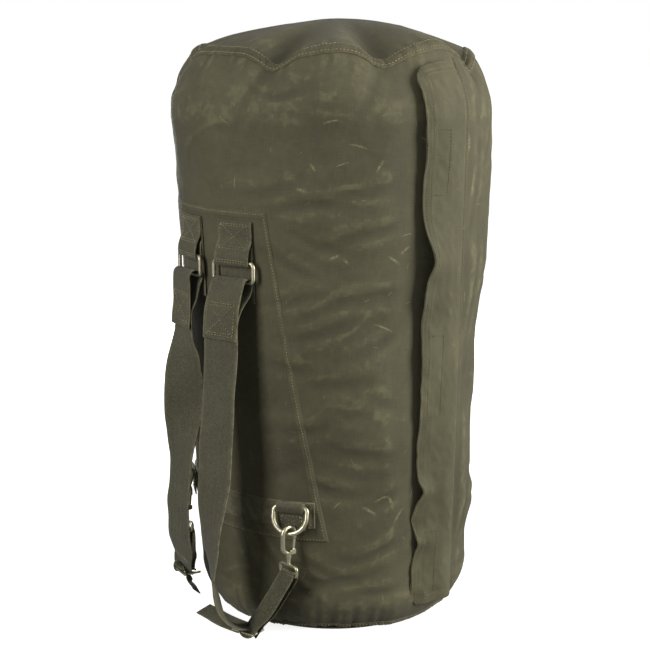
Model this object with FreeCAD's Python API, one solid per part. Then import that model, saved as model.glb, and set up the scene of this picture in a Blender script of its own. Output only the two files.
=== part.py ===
"""Side-zip canvas duffel bag with two clip-on shoulder straps, in millimetres.

+Z is up and the origin is the centre of the flat base. The strap side faces -Y and the storm
flap and zipper face +X. Azimuth is measured from -Y towards +X, seen from above. Each piece is
drawn at azimuth 0, where x is sideways and the outward distance r is -y, then turned into place.
"""
import FreeCAD, Part
import math
import os

V = FreeCAD.Vector
ORIGIN = V(0, 0, 0)
UP = V(0, 0, 1)

# Bag body
BASE_R = 146.0            # radius of the flat base on the floor
LOW_R, LOW_Z = 176.0, 60.0    # where the base rounding meets the side
HIGH_R, HIGH_Z = 203.0, 640.0   # where the side meets the shoulder rounding
SEAM_R, SEAM_Z = 172.0, 709.0   # the crown seam
SHOULDER = 92.3           # the shoulder's rounding
TOP_Z = 755.0             # top of the domed crown
CANVAS = 2.4              # canvas and its seam allowances
BASE_SEAM_Z = 6.0
BAND = 1.4                # a felled seam or a patch stands this far out
SEAM_HALF = 7.0           # half the height of a felled seam

# Strap side
PATCH_LOW_Z, PATCH_HIGH_Z = 129.0, 535.0
PATCH_LOW_HALF, PATCH_HIGH_HALF = 129.0, 82.0
BAND_LOW_Z, BAND_HIGH_Z, BAND_AZ = 146.0, 181.0, 41.0

# Webbing and wire
WIDE, NARROW = 50.0, 25.0
WEB = 2.0                 # thickness of the wide webbing
TAPE = 1.6                # thickness of the narrow webbing
GAP = 0.5                 # clearance of webbing round a wire

# Upper rings, which hold the top of the straps
TAB_AZ = 12.2
TAB_TOP_Z, TAB_BACK_Z = 522.0, 424.0
RING_WIRE = 5.0
RING_HALF, RING_DROP, RING_CORNER = 32.5, 23.0, 5.0
RING_Z = 474.0            # the top bar's height
RING_OUT = 8.0            # the top bar's distance from the wall

# D-rings, which the snap hooks are clipped to
D_AZ = 32.0
D_WIRE = 6.0
D_HALF, D_DROP = 21.0, 32.0
D_Z, D_OUT = 176.0, 9.0
D_LEAN = 16.0             # the hook keeps the D-ring leaning out from the wall
D_TAB = 34.0

# Snap hook, with its bow in a plane of constant x
BOW_R, BOW_WIRE = 9.0, 6.0
BOW_HANG = 0.8            # the bow's centre below the D-ring's lower wire
GATE_WIRE, GATE_PIN = 2.6, 1.64
TIP_Z, SHANK_Z, EYE_Z = -5.0, -30.0, -39.0   # the bow's centre is zero
EYE_HALF, EYE_DROP, EYE_WIRE = 17.0, 12.0, 4.0

# Straps: the wide webbing's path as (r, z) in the plane of TAB_AZ, with the buckle at its end
STRAPS = {
    "right": {
        "side": 1,
        "path": [(209, 438), (226, 404), (231, 330), (246, 210), (254, 160), (254, 112)],
        "buckle": (55, -193, 11),
        "tail_end": (-30, -198, 12),
    },
    "left": {
        "side": -1,
        "path": [(209, 438), (215, 404), (216, 300), (224, 190), (228, 150), (226, 125)],
        "buckle": (-72, -192, 52),
        "tail_end": (-42, -206, 24),
    },
}
BUCKLE_LONG, BUCKLE_WIDE, BUCKLE_THICK = 24.0, 34.0, 3.0
SWING_GAP = 1.0           # between a strap's end loop and the part that swings

# Zipper and storm flap, on a straight line up the side
ZIP_LOW_Z, ZIP_HIGH_Z = 60.0, 640.0
ZIP_LOW_AZ, ZIP_HIGH_AZ = 98.5, 92.0
SLOT_HALF = 10.0
TOOTH_PITCH, TOOTH_LONG, TEETH_GAP = 5.0, 4.0, 0.8
CHAIN_N = -4.4            # the tapes and teeth lie inside the slot
TEETH_LOW, TEETH_HIGH = CHAIN_N - 1.4, CHAIN_N + 1.4
TAPE_LOW, TAPE_HIGH = CHAIN_N - 0.4, CHAIN_N + 0.4
PLATE, PLATE_GAP, FLANGE_GAP = 1.2, 0.3, 0.3
HINGE_T, HINGE_N = 18.0, 3.2
FLAP = 2.0
FLAP_SECTION = [(18, 3.2), (11, 9.5), (0, 12.6), (-26, 10.6), (-51, 5)]
FLAP_LOW, FLAP_TOP_ANGLE = -28.0, 36.0
STRIPS = [(-12, 72), (222, 326), (496, 572)]
SLIDER_REST = 572.0
PIN_N = 1.4               # the pull turns on the slider at this height


def trimmed(shape, tools):
    """shape less the tools, without crumbs."""
    return max(shape.cut(tools).Solids, key=lambda solid: solid.Volume)


def save(name, shape):
    shape.exportStep(f"parts/{name}.step")


def turn(shape, azimuth):
    return shape.rotated(ORIGIN, UP, azimuth)


def wall_r(z):
    return LOW_R + (HIGH_R - LOW_R) * (z - LOW_Z) / (HIGH_Z - LOW_Z)


def at(azimuth, r, z):
    a = math.radians(azimuth)
    return V(r * math.sin(a), -r * math.cos(a), z)


def outline(inset):
    """The points and arcs of the bag's profile from the base's rim to the top, moved in by inset."""
    bend = SHOULDER - inset
    dome = (SEAM_R**2 + (TOP_Z - SEAM_Z) ** 2) / (2 * (TOP_Z - SEAM_Z))
    lean = math.radians(24.2)
    rim = V(BASE_R - 0.6 * inset, 0, inset)
    curl = V(168.5 - 0.92 * inset, 0, 23 + 0.4 * inset)
    low, high = V(LOW_R - inset, 0, LOW_Z), V(HIGH_R - inset, 0, HIGH_Z)
    turn_in = V(HIGH_R - SHOULDER + bend * math.cos(lean), 0, HIGH_Z + bend * math.sin(lean))
    seam = V(SEAM_R - 0.7 * inset, 0, SEAM_Z - 0.75 * inset)
    crown = V(88, 0, TOP_Z - dome + math.sqrt((dome - inset) ** 2 - 88**2))
    top = V(0, 0, TOP_Z - inset)
    side = [
        Part.Arc(rim, curl, low).toShape(),
        Part.LineSegment(low, high).toShape(),
        Part.Arc(high, turn_in, seam).toShape(),
    ]
    return rim, side, seam, Part.Arc(seam, crown, top).toShape(), top


def line(a, b):
    return Part.LineSegment(a, b).toShape()


def spun(edges):
    return Part.Face(Part.Wire(Part.__sortEdges__(edges))).revolve(ORIGIN, UP, 360)


def bag_solid(inset):
    """The bag's whole outer form, moved in by inset."""
    rim, side, _, crown, top = outline(inset)
    floor = V(0, 0, rim.z)
    return spun([line(floor, rim), *side, crown, line(top, floor)])


def slab(low, high):
    return Part.makeBox(600, 600, high - low, V(-300, -300, low))


def prism(points, y0, y1):
    """A polygon of (x, z) points, from y0 to y1."""
    wire = Part.makePolygon([V(x, y0, z) for x, z in [*points, points[0]]])
    return Part.Face(wire).extrude(V(0, y1 - y0, 0))


# Webbing ---------------------------------------------------------------------------------------

def rounded(points, share=0.45):
    """Straight runs joined by tangent arcs, through the corners given."""
    edges, last = [], points[0]
    for before, corner, after in zip(points, points[1:], points[2:]):
        a, b = (before - corner), (after - corner)
        cut = share * min(a.Length, b.Length)
        start, end = corner + a.normalize() * cut, corner + b.normalize() * cut
        half = a.getAngle(b) / 2
        inward = (a + b).normalize()
        radius = cut * math.tan(half)
        middle = corner + inward * (cut / math.cos(half) - radius)
        edges += [line(last, start), Part.Arc(start, middle, end).toShape()]
        last = end
    return Part.Wire([*edges, line(last, points[-1])])


def ribbon(corners, width, thickness):
    """Webbing along (r, z) corners at azimuth 0, with its width along x."""
    points = [V(0, -r, z) for r, z in corners]
    half, out = V(width / 2, 0, 0), V(1, 0, 0).cross(points[1] - points[0]).normalize() * (thickness / 2)
    ends = [half + out, half - out, -half - out, -half + out, half + out]
    section = Part.makePolygon([points[0] + p for p in ends])
    return rounded(points).makePipeShell([section], True, False)


def sleeve(r, z, bar, width, thickness):
    """Webbing folded round a bar that lies along x."""
    inner = bar / 2 + GAP
    place = V(-width / 2, -r, z)
    axis = V(1, 0, 0)
    tube = Part.makeCylinder(inner + thickness, width, place, axis)
    return tube.cut(Part.makeCylinder(inner, width, place, axis))


def strip(start, end, across, width, thickness):
    """A flat strip of webbing from start to end, with its width along across."""
    along = (end - start).normalize()
    side = (across - along * across.dot(along)).normalize()
    out = along.cross(side) * (thickness / 2)
    half = side * (width / 2)
    corners = [start + half + out, start - half + out, start - half - out, start + half - out]
    return Part.Face(Part.makePolygon([*corners, corners[0]])).extrude(end - start)


# Wire forms ------------------------------------------------------------------------------------

def wire_loop(path, start, direction, diameter):
    section = Part.Wire(Part.makeCircle(diameter / 2, start, direction))
    return path.makePipeShell([section], True, True)


def rectangle_ring(half, drop, corner, diameter):
    """A ring whose top bar is on the x axis and whose lower bar is drop below it."""
    s = corner * math.sqrt(0.5)
    x, low = half - diameter / 2, -drop
    c = x - corner
    edges = [
        Part.LineSegment(V(-c, 0, 0), V(c, 0, 0)),
        Part.Arc(V(c, 0, 0), V(c + s, 0, s - corner), V(x, 0, -corner)),
        Part.LineSegment(V(x, 0, -corner), V(x, 0, low + corner)),
        Part.Arc(V(x, 0, low + corner), V(c + s, 0, low + corner - s), V(c, 0, low)),
        Part.LineSegment(V(c, 0, low), V(-c, 0, low)),
        Part.Arc(V(-c, 0, low), V(-c - s, 0, low + corner - s), V(-x, 0, low + corner)),
        Part.LineSegment(V(-x, 0, low + corner), V(-x, 0, -corner)),
        Part.Arc(V(-x, 0, -corner), V(-c - s, 0, s - corner), V(-c, 0, 0)),
    ]
    path = Part.Wire([e.toShape() for e in edges])
    return wire_loop(path, V(-c, 0, 0), V(1, 0, 0), diameter)


def d_form(half, drop, diameter):
    """A D-ring whose straight bar is on the x axis."""
    corner = 5.0
    s = corner * (1 - math.sqrt(0.5))
    centre = half - drop
    c = half - corner
    edges = [
        Part.LineSegment(V(-c, 0, 0), V(c, 0, 0)),
        Part.Arc(V(c, 0, 0), V(half - s, 0, -s), V(half, 0, -corner)),
        Part.LineSegment(V(half, 0, -corner), V(half, 0, centre)),
        Part.Arc(V(half, 0, centre), V(0, 0, -drop), V(-half, 0, centre)),
        Part.LineSegment(V(-half, 0, centre), V(-half, 0, -corner)),
        Part.Arc(V(-half, 0, -corner), V(s - half, 0, -s), V(-c, 0, 0)),
    ]
    path = Part.Wire([e.toShape() for e in edges])
    return wire_loop(path, V(-c, 0, 0), V(1, 0, 0), diameter)


# Bag body --------------------------------------------------------------------------------------

def zip_frame():
    """The zipper line's foot, and its directions along, sideways (towards the seam) and outward."""
    foot = at(ZIP_LOW_AZ, wall_r(ZIP_LOW_Z), ZIP_LOW_Z)
    head = at(ZIP_HIGH_AZ, wall_r(ZIP_HIGH_Z), ZIP_HIGH_Z)
    along = (head - foot).normalize()
    radial = at((ZIP_LOW_AZ + ZIP_HIGH_AZ) / 2, 1, 0)
    outward = (radial - along * radial.dot(along)).normalize()
    return foot, along, along.cross(outward), outward


def zip_point(t, n, s):
    """A point t sideways, n outward and s up the zipper line."""
    foot, along, side, outward = zip_frame()
    return foot + side * t + outward * n + along * s


def zip_block(t0, t1, n0, n1, s0, s1):
    corners = [zip_point(t, n, s0) for t, n in ((t0, n0), (t1, n0), (t1, n1), (t0, n1), (t0, n0))]
    return Part.Face(Part.makePolygon(corners)).extrude(zip_point(0, 0, s1) - zip_point(0, 0, s0))


def make_body():
    rim, side, seam, crown, top = outline(0)
    rim_in, side_in, seam_in, crown_in, top_in = outline(CANVAS)
    wall = spun([*side, line(seam, seam_in), *side_in, line(rim_in, rim)])
    skin = bag_solid(-BAND).cut(bag_solid(0))
    slot = zip_block(-SLOT_HALF, SLOT_HALF, -20, 20, 0, ZIP_HIGH_Z - ZIP_LOW_Z)
    save("body_wall", wall.cut(slot))
    save("base_panel", Part.makeCylinder(BASE_R - 1.5, CANVAS))
    save("crown_panel", spun([crown, line(top, top_in), crown_in, line(seam_in, seam)]))
    save("crown_seam_band", skin.common(slab(SEAM_Z - SEAM_HALF, SEAM_Z + SEAM_HALF)))
    save("base_seam_band", skin.common(slab(BASE_SEAM_Z, BASE_SEAM_Z + 2 * SEAM_HALF)))
    patch = [
        (-PATCH_LOW_HALF, PATCH_LOW_Z),
        (PATCH_LOW_HALF, PATCH_LOW_Z),
        (PATCH_HIGH_HALF, PATCH_HIGH_Z),
        (-PATCH_HIGH_HALF, PATCH_HIGH_Z),
    ]
    save("back_panel", skin.common(prism(patch, -300, -60)))
    ring = bag_solid(-BAND - WEB).cut(bag_solid(-BAND))
    half = (wall_r(BAND_LOW_Z) + BAND) * math.sin(math.radians(BAND_AZ))
    window = [(-half, BAND_LOW_Z), (half, BAND_LOW_Z), (half, BAND_HIGH_Z), (-half, BAND_HIGH_Z)]
    save("d_ring_band", ring.common(prism(window, -300, -60)))


def comb(side):
    """One row of zipper teeth, as a comb whose back is on the tape."""
    length = ZIP_HIGH_Z - ZIP_LOW_Z - 12
    count = int(length / TOOTH_PITCH)
    root, tip = side * (TEETH_GAP + TOOTH_LONG), side * TEETH_GAP
    neck = side * (TEETH_GAP + TOOTH_LONG - 1.4)
    points = [(root, 6)]
    for i in range(count):
        s = 6 + i * TOOTH_PITCH
        points += [(neck, s), (tip, s), (tip, s + TOOTH_PITCH / 2), (neck, s + TOOTH_PITCH / 2)]
    points += [(neck, 6 + count * TOOTH_PITCH), (root, 6 + count * TOOTH_PITCH)]
    outline = [zip_point(t, TEETH_LOW, s) for t, s in [*points, points[0]]]
    thickness = zip_point(0, TEETH_HIGH, 0) - zip_point(0, TEETH_LOW, 0)
    return Part.Face(Part.makePolygon(outline)).extrude(thickness)


def make_zipper():
    length = ZIP_HIGH_Z - ZIP_LOW_Z
    for name, side in (("left", -1), ("right", 1)):
        inner, outer = sorted((side * (TEETH_GAP + TOOTH_LONG), side * 16.0))
        save(f"zipper_tape_{name}", zip_block(inner, outer, TAPE_LOW, TAPE_HIGH, -8, length + 8))
        save(f"zipper_teeth_{name}", comb(side))
    reach = TEETH_GAP + TOOTH_LONG
    save("zipper_bottom_stop", zip_block(-reach, reach, TEETH_LOW, TEETH_HIGH, -2, 5.5))
    save("zipper_top_stop", zip_block(-reach, reach, TEETH_LOW, TEETH_HIGH, length - 5.5, length))
    save("zipper_slider", slider(SLIDER_REST))
    save("zipper_pull", pull(SLIDER_REST))


def slider(s):
    """Two plates joined by a post in the gap between the rows, with flanges outside the teeth."""
    low, high = s - 24, s
    top, under = TEETH_HIGH + PLATE_GAP, TEETH_LOW - PLATE_GAP
    body = zip_block(-7, 7, top, top + PLATE, low, high)
    body = body.fuse(zip_block(-7, 7, under - PLATE, under, low, high))
    body = body.fuse(zip_block(-0.45, 0.45, under, top, high - 3, high))
    for side in (-1, 1):
        inner, outer = sorted((side * 5.6, side * 7.0))
        body = body.fuse(zip_block(inner, outer, TAPE_HIGH + FLANGE_GAP, top, low, high))
        body = body.fuse(zip_block(inner, outer, under, TAPE_LOW - FLANGE_GAP, low, high))
        ear0, ear1 = sorted((side * 2.6, side * 3.6))
        body = body.fuse(zip_block(ear0, ear1, top, PIN_N + 1.4, s - 8, s - 3))
    pin = Part.makeCylinder(0.8, 6.4, zip_point(-3.2, PIN_N, s - 5.5), zip_frame()[2])
    return body.fuse(pin).removeSplitter()


def pull(s):
    """The pull tab hangs down from the slider's pin."""
    side, outward = zip_frame()[2:]
    shape = Part.makeCylinder(1.8, 4.4, zip_point(-2.2, PIN_N, s - 5.5), side)
    shape = shape.fuse(zip_block(-2.2, 2.2, PIN_N - 0.8, PIN_N + 0.8, s - 12, s - 6.6))
    shape = shape.cut(Part.makeCylinder(0.86, 8, zip_point(-4, PIN_N, s - 5.5), side))
    tab = zip_block(-4, 4, PIN_N - 0.8, PIN_N + 0.8, s - 30, s - 11)
    hole = Part.makeCylinder(2, 6, zip_point(0, PIN_N - 3, s - 25.5), outward)
    return shape.fuse(tab).cut(hole).removeSplitter()


def flap_path(t, n):
    """A line up the flap at (t, n), which bends in over the shoulder."""
    length = ZIP_HIGH_Z - ZIP_LOW_Z
    radius = SHOULDER + n
    centre = zip_point(t, n - radius, length)
    along, _, outward = zip_frame()[1:]

    def arc(angle):
        a = math.radians(angle)
        return centre + outward * (radius * math.cos(a)) + along * (radius * math.sin(a))

    low, high = zip_point(t, n, FLAP_LOW), zip_point(t, n, length)
    bend = Part.Arc(high, arc(FLAP_TOP_ANGLE / 2), arc(FLAP_TOP_ANGLE)).toShape()
    return Part.Wire([line(low, high), bend])


def flap_face(points, thickness, s):
    """The flap's cross-section: a smooth curve through (t, n) points, thickened inward."""
    def curve(drop):
        spline = Part.BSplineCurve()
        spline.interpolate([zip_point(t, n - drop, s) for t, n in points])
        return spline.toShape()

    outer, inner = curve(0), curve(thickness)
    ends = [line(zip_point(t, n, s), zip_point(t, n - thickness, s)) for t, n in (points[0], points[-1])]
    return Part.Face(Part.Wire(Part.__sortEdges__([outer, inner, *ends])))


def make_flap():
    section = flap_face(FLAP_SECTION, FLAP, FLAP_LOW)
    shape = flap_path(0, 0).makePipe(section)
    save("storm_flap", shape)
    hooks = [zip_block(-46, -26, 4.6, 5.8, low, high) for low, high in STRIPS]
    loops = [zip_block(-46, -26, -2.2, -0.8, low, high) for low, high in STRIPS]
    save("flap_hook_strips", Part.makeCompound([h.cut(shape) for h in hooks]))
    save("wall_loop_strips", Part.makeCompound([h.cut(bag_solid(0)) for h in loops]))
    length = ZIP_HIGH_Z - ZIP_LOW_Z
    binding = zip_block(HINGE_T + 1, HINGE_T + 8, -4, 0.4, 0, length).cut(bag_solid(0))
    save("flap_seam_binding", binding)


# Strap hardware --------------------------------------------------------------------------------

def make_upper_tab(side):
    """Webbing folded round the ring's top bar and sewn to the wall, with a longer back layer."""
    bar_r = wall_r(RING_Z) + RING_OUT
    outer = RING_WIRE / 2 + GAP + WEB
    back_line = [(wall_r(z) + BAND + WEB / 2, z) for z in (TAB_BACK_Z, TAB_TOP_Z)]
    back = ribbon(back_line, WIDE, WEB)
    front = ribbon(
        [
            (bar_r + outer - WEB / 2, RING_Z),
            (bar_r + outer - WEB / 2, RING_Z + 8),
            (wall_r(TAB_TOP_Z) + BAND + 1.5 * WEB, RING_Z + 20),
            (wall_r(TAB_TOP_Z) + BAND + 1.5 * WEB, TAB_TOP_Z),
        ],
        WIDE, WEB,
    )
    fold = sleeve(bar_r, RING_Z, RING_WIRE, WIDE, WEB)
    upper = Part.makeBox(WIDE, 2 * outer, outer, V(-WIDE / 2, -bar_r - outer, RING_Z))
    shape = back.fuse(front).fuse(fold.cut(upper))
    keep = Part.makeCylinder(RING_WIRE / 2 + GAP, WIDE, V(-WIDE / 2, -bar_r, RING_Z), V(1, 0, 0))
    return turn(shape.cut(keep).removeSplitter(), side * TAB_AZ)


def make_ring(side):
    ring = rectangle_ring(RING_HALF, RING_DROP, RING_CORNER, RING_WIRE)
    return turn(ring.translated(V(0, -wall_r(RING_Z) - RING_OUT, RING_Z)), side * TAB_AZ)


def ring_low_bar():
    return wall_r(RING_Z) + RING_OUT, RING_Z - RING_DROP


def make_end_loop(side, path):
    """The strap's top end, folded round the ring's lower bar, down to the swinging part."""
    r, z = ring_low_bar()
    fold = sleeve(r, z, RING_WIRE, WIDE, WEB)
    run = ribbon([(r + 2, z - RING_WIRE / 2 - GAP - WEB / 2), path[0]], WIDE, 2 * WEB)
    keep = Part.makeCylinder(RING_WIRE / 2 + GAP, WIDE, V(-WIDE / 2, -r, z), V(1, 0, 0))
    shape = fold.fuse(run).cut(keep).removeSplitter()
    return turn(shape, side * TAB_AZ)


def d_low_wire():
    """Where the hook holds the leaning D-ring, as (r, z)."""
    lean = math.radians(D_LEAN)
    return wall_r(D_Z) + D_OUT + D_DROP * math.sin(lean), D_Z - D_DROP * math.cos(lean)


def swing_axis(side):
    """A strap swings about the line from its ring's lower bar to its D-ring's lower wire."""
    r, z = ring_low_bar()
    top = at(side * TAB_AZ, r, z)
    low = at(side * D_AZ, *d_low_wire())
    return top, (top - low).normalize()


def swing_cut(side, path):
    """The half space below the cut between a strap's end loop and its swinging part."""
    top, axis = swing_axis(side)
    level = at(side * TAB_AZ, *path[0])
    block = Part.makeBox(800, 800, 700, V(-400, -400, -700))
    block.Placement = FreeCAD.Placement(level, FreeCAD.Rotation(UP, axis))
    return block


def make_strap(side, path, buckle):
    """The wide webbing, and the tapered tip that the buckle hangs in."""
    folded = ribbon(path, WIDE, WEB)
    doubled = ribbon([(r - WEB, z) for r, z in path[:2]], WIDE, WEB)
    wide = turn(folded.fuse(doubled), side * TAB_AZ)
    block = swing_cut(side, path)
    block.translate(swing_axis(side)[1] * -SWING_GAP)
    across = at(side * TAB_AZ + 90, 1, 0)
    start, end = at(side * TAB_AZ, *path[-1]), V(*buckle)
    knee = start + V(0, 0, -0.45 * (start.z - end.z)) + (end - start) * 0.1
    tip = tapered(start, knee, across, WIDE, 0.66 * WIDE)
    tip = tip.fuse(tapered(knee, end + V(0, 0, 1), across, 0.66 * WIDE, NARROW))
    return wide.common(block), tip


def tapered(start, end, across, wide, narrow):
    """A flat strip that narrows from wide to narrow."""
    along = (end - start).normalize()
    side = (across - along * across.dot(along)).normalize()
    out = along.cross(side) * (WEB / 2)
    corners = [start + side * wide / 2, end + side * narrow / 2, end - side * narrow / 2,
               start - side * wide / 2]
    face = Part.Face(Part.makePolygon([p - out for p in [*corners, corners[0]]]))
    return face.extrude(out * 2)


def make_buckle(side, buckle):
    """A slide buckle: a flat frame with two slots, and its knurled middle bar."""
    frame = Part.makeBox(BUCKLE_WIDE, BUCKLE_LONG, BUCKLE_THICK,
                         V(-BUCKLE_WIDE / 2, -BUCKLE_LONG / 2, -BUCKLE_THICK / 2))
    frame = frame.makeFillet(1.2, [e for e in frame.Edges])
    slots = Part.makeBox(NARROW + 2, BUCKLE_LONG - 7, 9, V(-NARROW / 2 - 1, -BUCKLE_LONG / 2 + 3.5, -4.5))
    bar = Part.makeCylinder(2, NARROW + 6, V(-NARROW / 2 - 3, 0, 0), V(1, 0, 0))
    place = FreeCAD.Placement(V(*buckle), FreeCAD.Rotation(UP, side * TAB_AZ))
    frame = frame.cut(slots).cut(bar)
    frame.Placement, bar.Placement = place, place
    return frame, bar


def hook_centre(side):
    """The centre of the hook's bow, just under the D-ring's lower wire."""
    r, z = d_low_wire()
    return at(side * D_AZ, r, z - BOW_HANG)


def gate_pivot(side):
    return hook_centre(side) + V(0, 7, SHANK_Z + 7)


def make_hook(side):
    """The hook's bow and shank, its gate, and the gate's pin. The gate faces the wall."""
    centre = hook_centre(side)
    axis = V(1, 0, 0)

    def spot(out, up):
        return centre + V(0, -out, up)

    bow = Part.makeTorus(BOW_R, BOW_WIRE / 2, centre, axis)
    lower = Part.makeBox(40, 80, 40, centre + V(-20, -40, -40))
    tip = Part.makeCylinder(BOW_WIRE / 2, -TIP_Z, spot(-BOW_R, TIP_Z))
    tip = tip.fuse(Part.makeSphere(BOW_WIRE / 2, spot(-BOW_R, TIP_Z)))
    spine = rounded([spot(BOW_R, 0.01), spot(BOW_R, -19), spot(0, SHANK_Z + 5), spot(0, SHANK_Z)], 0.4)
    section = Part.Wire(Part.makeCircle(BOW_WIRE / 2, spot(BOW_R, 0.01), V(0, 0, -1)))
    arm = spine.makePipeShell([section], True, True)
    foot = Part.makeCylinder(BOW_WIRE / 2 + 0.6, 9, spot(0, SHANK_Z), V(0, 0, 1))
    heel = Part.makeBox(4.6, 9, 6, spot(-1, SHANK_Z + 4) + V(-2.3, 0, 0))
    body = bow.cut(lower).fuse([tip, arm, foot, heel])
    pivot = gate_pivot(side)
    slot = Part.makeBox(GATE_WIRE + 0.6, 9, 9, pivot + V(-GATE_WIRE / 2 - 0.3, -3.4, -3))
    notch_corner = spot(4 - BOW_R, TIP_Z - 4) + V(-GATE_WIRE / 2 - 0.3, 0, 0)
    notch = Part.makeBox(GATE_WIRE + 0.6, 6.5, 4.2, notch_corner)
    body = body.cut([slot, notch, Part.makeCylinder(GATE_PIN / 2 + 0.04, 12, pivot - axis * 6, axis)])
    pin = Part.makeCylinder(GATE_PIN / 2, 4.6, pivot - axis * 2.3, axis)
    gate = strip(pivot, spot(-BOW_R, TIP_Z - 0.6), axis, GATE_WIRE, GATE_WIRE)
    gate = gate.fuse(Part.makeCylinder(2, GATE_WIRE, pivot - axis * (GATE_WIRE / 2), axis))
    gate = gate.cut(Part.makeCylinder(GATE_PIN / 2 + 0.04, 6, pivot - axis * 3, axis))
    return body.removeSplitter(), gate.removeSplitter(), pin


def make_eye(side):
    """The swivel eye: a rectangular wire loop with a stem that the hook turns on."""
    centre = hook_centre(side)
    eye = rectangle_ring(EYE_HALF, EYE_DROP, 4.0, EYE_WIRE)
    eye.translate(centre + V(0, 0, EYE_Z))
    stem = Part.makeCylinder(2.6, SHANK_Z - EYE_Z - 0.4, centre + V(0, 0, EYE_Z))
    return eye.fuse(stem).removeSplitter()


def make_adjuster(side, buckle, tail_end):
    """The narrow webbing: two runs between the buckle and the eye, and the free tail."""
    across = V(1, 0, 0)
    centre = hook_centre(side) + V(0, 0, EYE_Z - EYE_DROP)
    slide = V(*buckle)
    outer = EYE_WIRE / 2 + GAP + TAPE / 2
    fold = Part.makeCylinder(outer + TAPE / 2, NARROW, centre - across * (NARROW / 2), across)
    keep = Part.makeCylinder(outer - TAPE / 2, NARROW, centre - across * (NARROW / 2), across)
    runs = []
    for y in (-outer, outer):
        start = centre + V(0, y, 0)
        end = slide + V(0, y * 0.8, 3)
        runs.append(strip(start, end, across, NARROW, TAPE))
    shape = fold.fuse(runs).cut(keep).removeSplitter()
    rise = 1.5 if side > 0 else 0
    bend = slide + V(-side * 22, -4, rise)
    tail = strip(slide + V(-side * 15, -3, rise), bend, V(0, 1, 0), NARROW, TAPE)
    tail = tail.fuse(strip(bend, V(*tail_end), V(0, 1, 0), NARROW, TAPE))
    return shape, tail.removeSplitter()


def make_d_ring(side):
    ring = d_form(D_HALF, D_DROP, D_WIRE).rotated(ORIGIN, V(1, 0, 0), -D_LEAN)
    return turn(ring.translated(V(0, -wall_r(D_Z) - D_OUT, D_Z)), side * D_AZ)


def make_d_tab(side):
    """Webbing folded round the D-ring's bar and sewn to the band behind it."""
    r = wall_r(D_Z) + D_OUT
    inner = D_WIRE / 2 + GAP
    fold = sleeve(r, D_Z, D_WIRE, D_TAB, WEB)
    proud = BAND + 2 * WEB + 0.1
    sewn = [(wall_r(z) + proud, z) for z in (D_Z - 16, BAND_LOW_Z)]
    run = ribbon([(r - inner - WEB / 2, D_Z), *sewn], D_TAB, 2 * WEB)
    keep = Part.makeCylinder(inner, D_TAB, V(-D_TAB / 2, -r, D_Z), V(1, 0, 0))
    return turn(trimmed(fold.fuse(run), [keep, bag_solid(-BAND - WEB)]), side * D_AZ)


def make_side(name, facts):
    side, path, buckle = facts["side"], facts["path"], facts["buckle"]
    save(f"{name}_upper_tab", make_upper_tab(side))
    save(f"{name}_ring", make_ring(side))
    save(f"{name}_strap_end_loop", make_end_loop(side, path).cut(swing_cut(side, path)))
    webbing, tip = make_strap(side, path, buckle)
    frame, bar = make_buckle(side, buckle)
    eye = make_eye(side)
    runs, tail = make_adjuster(side, buckle, facts["tail_end"])
    save(f"{name}_strap_webbing", webbing)
    save(f"{name}_strap_tip", trimmed(tip, [webbing, frame, bar]))
    save(f"{name}_buckle_frame", frame)
    save(f"{name}_buckle_bar", bar)
    save(f"{name}_adjuster_webbing", trimmed(runs, [frame, bar, eye, tip]))
    save(f"{name}_webbing_tail", trimmed(tail, [frame, bar, tip, runs]))
    save(f"{name}_swivel_eye", eye)
    hook, gate, pin = make_hook(side)
    save(f"{name}_hook_body", hook)
    save(f"{name}_hook_gate", gate)
    save(f"{name}_gate_pin", pin)
    save(f"{name}_d_ring", make_d_ring(side))
    save(f"{name}_d_ring_tab", make_d_tab(side))


os.makedirs("parts", exist_ok=True)
make_body()
make_zipper()
make_flap()
for name, facts in STRAPS.items():
    make_side(name, facts)
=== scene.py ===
"""Looks of the canvas duffel bag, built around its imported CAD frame.

Lengths are metres and azimuths are degrees from -Y towards +X, as in the CAD part. The canvas is
one skin(azimuth, run) function, so all that is sewn on lies on the same folds and puckers.
"""
import math

import bpy
import numpy as np
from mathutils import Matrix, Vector
from mathutils.bvhtree import BVHTree


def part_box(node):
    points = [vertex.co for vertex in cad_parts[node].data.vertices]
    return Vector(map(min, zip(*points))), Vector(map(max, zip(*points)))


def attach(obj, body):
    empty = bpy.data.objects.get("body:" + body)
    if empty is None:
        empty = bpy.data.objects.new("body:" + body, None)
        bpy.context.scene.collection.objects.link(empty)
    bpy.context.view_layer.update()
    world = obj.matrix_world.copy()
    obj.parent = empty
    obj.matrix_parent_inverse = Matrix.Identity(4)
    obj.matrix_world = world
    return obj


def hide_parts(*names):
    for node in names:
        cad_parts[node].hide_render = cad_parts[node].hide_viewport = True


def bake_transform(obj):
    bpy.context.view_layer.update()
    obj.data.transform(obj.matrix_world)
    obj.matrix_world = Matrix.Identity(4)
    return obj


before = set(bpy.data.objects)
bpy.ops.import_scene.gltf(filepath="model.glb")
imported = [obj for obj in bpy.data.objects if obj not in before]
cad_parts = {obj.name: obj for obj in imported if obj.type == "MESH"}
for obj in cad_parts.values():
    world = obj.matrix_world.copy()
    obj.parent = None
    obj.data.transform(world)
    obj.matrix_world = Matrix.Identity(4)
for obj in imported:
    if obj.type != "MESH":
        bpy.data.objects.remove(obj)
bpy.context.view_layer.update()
MM = 0.001
TAU = 2 * math.pi

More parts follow.
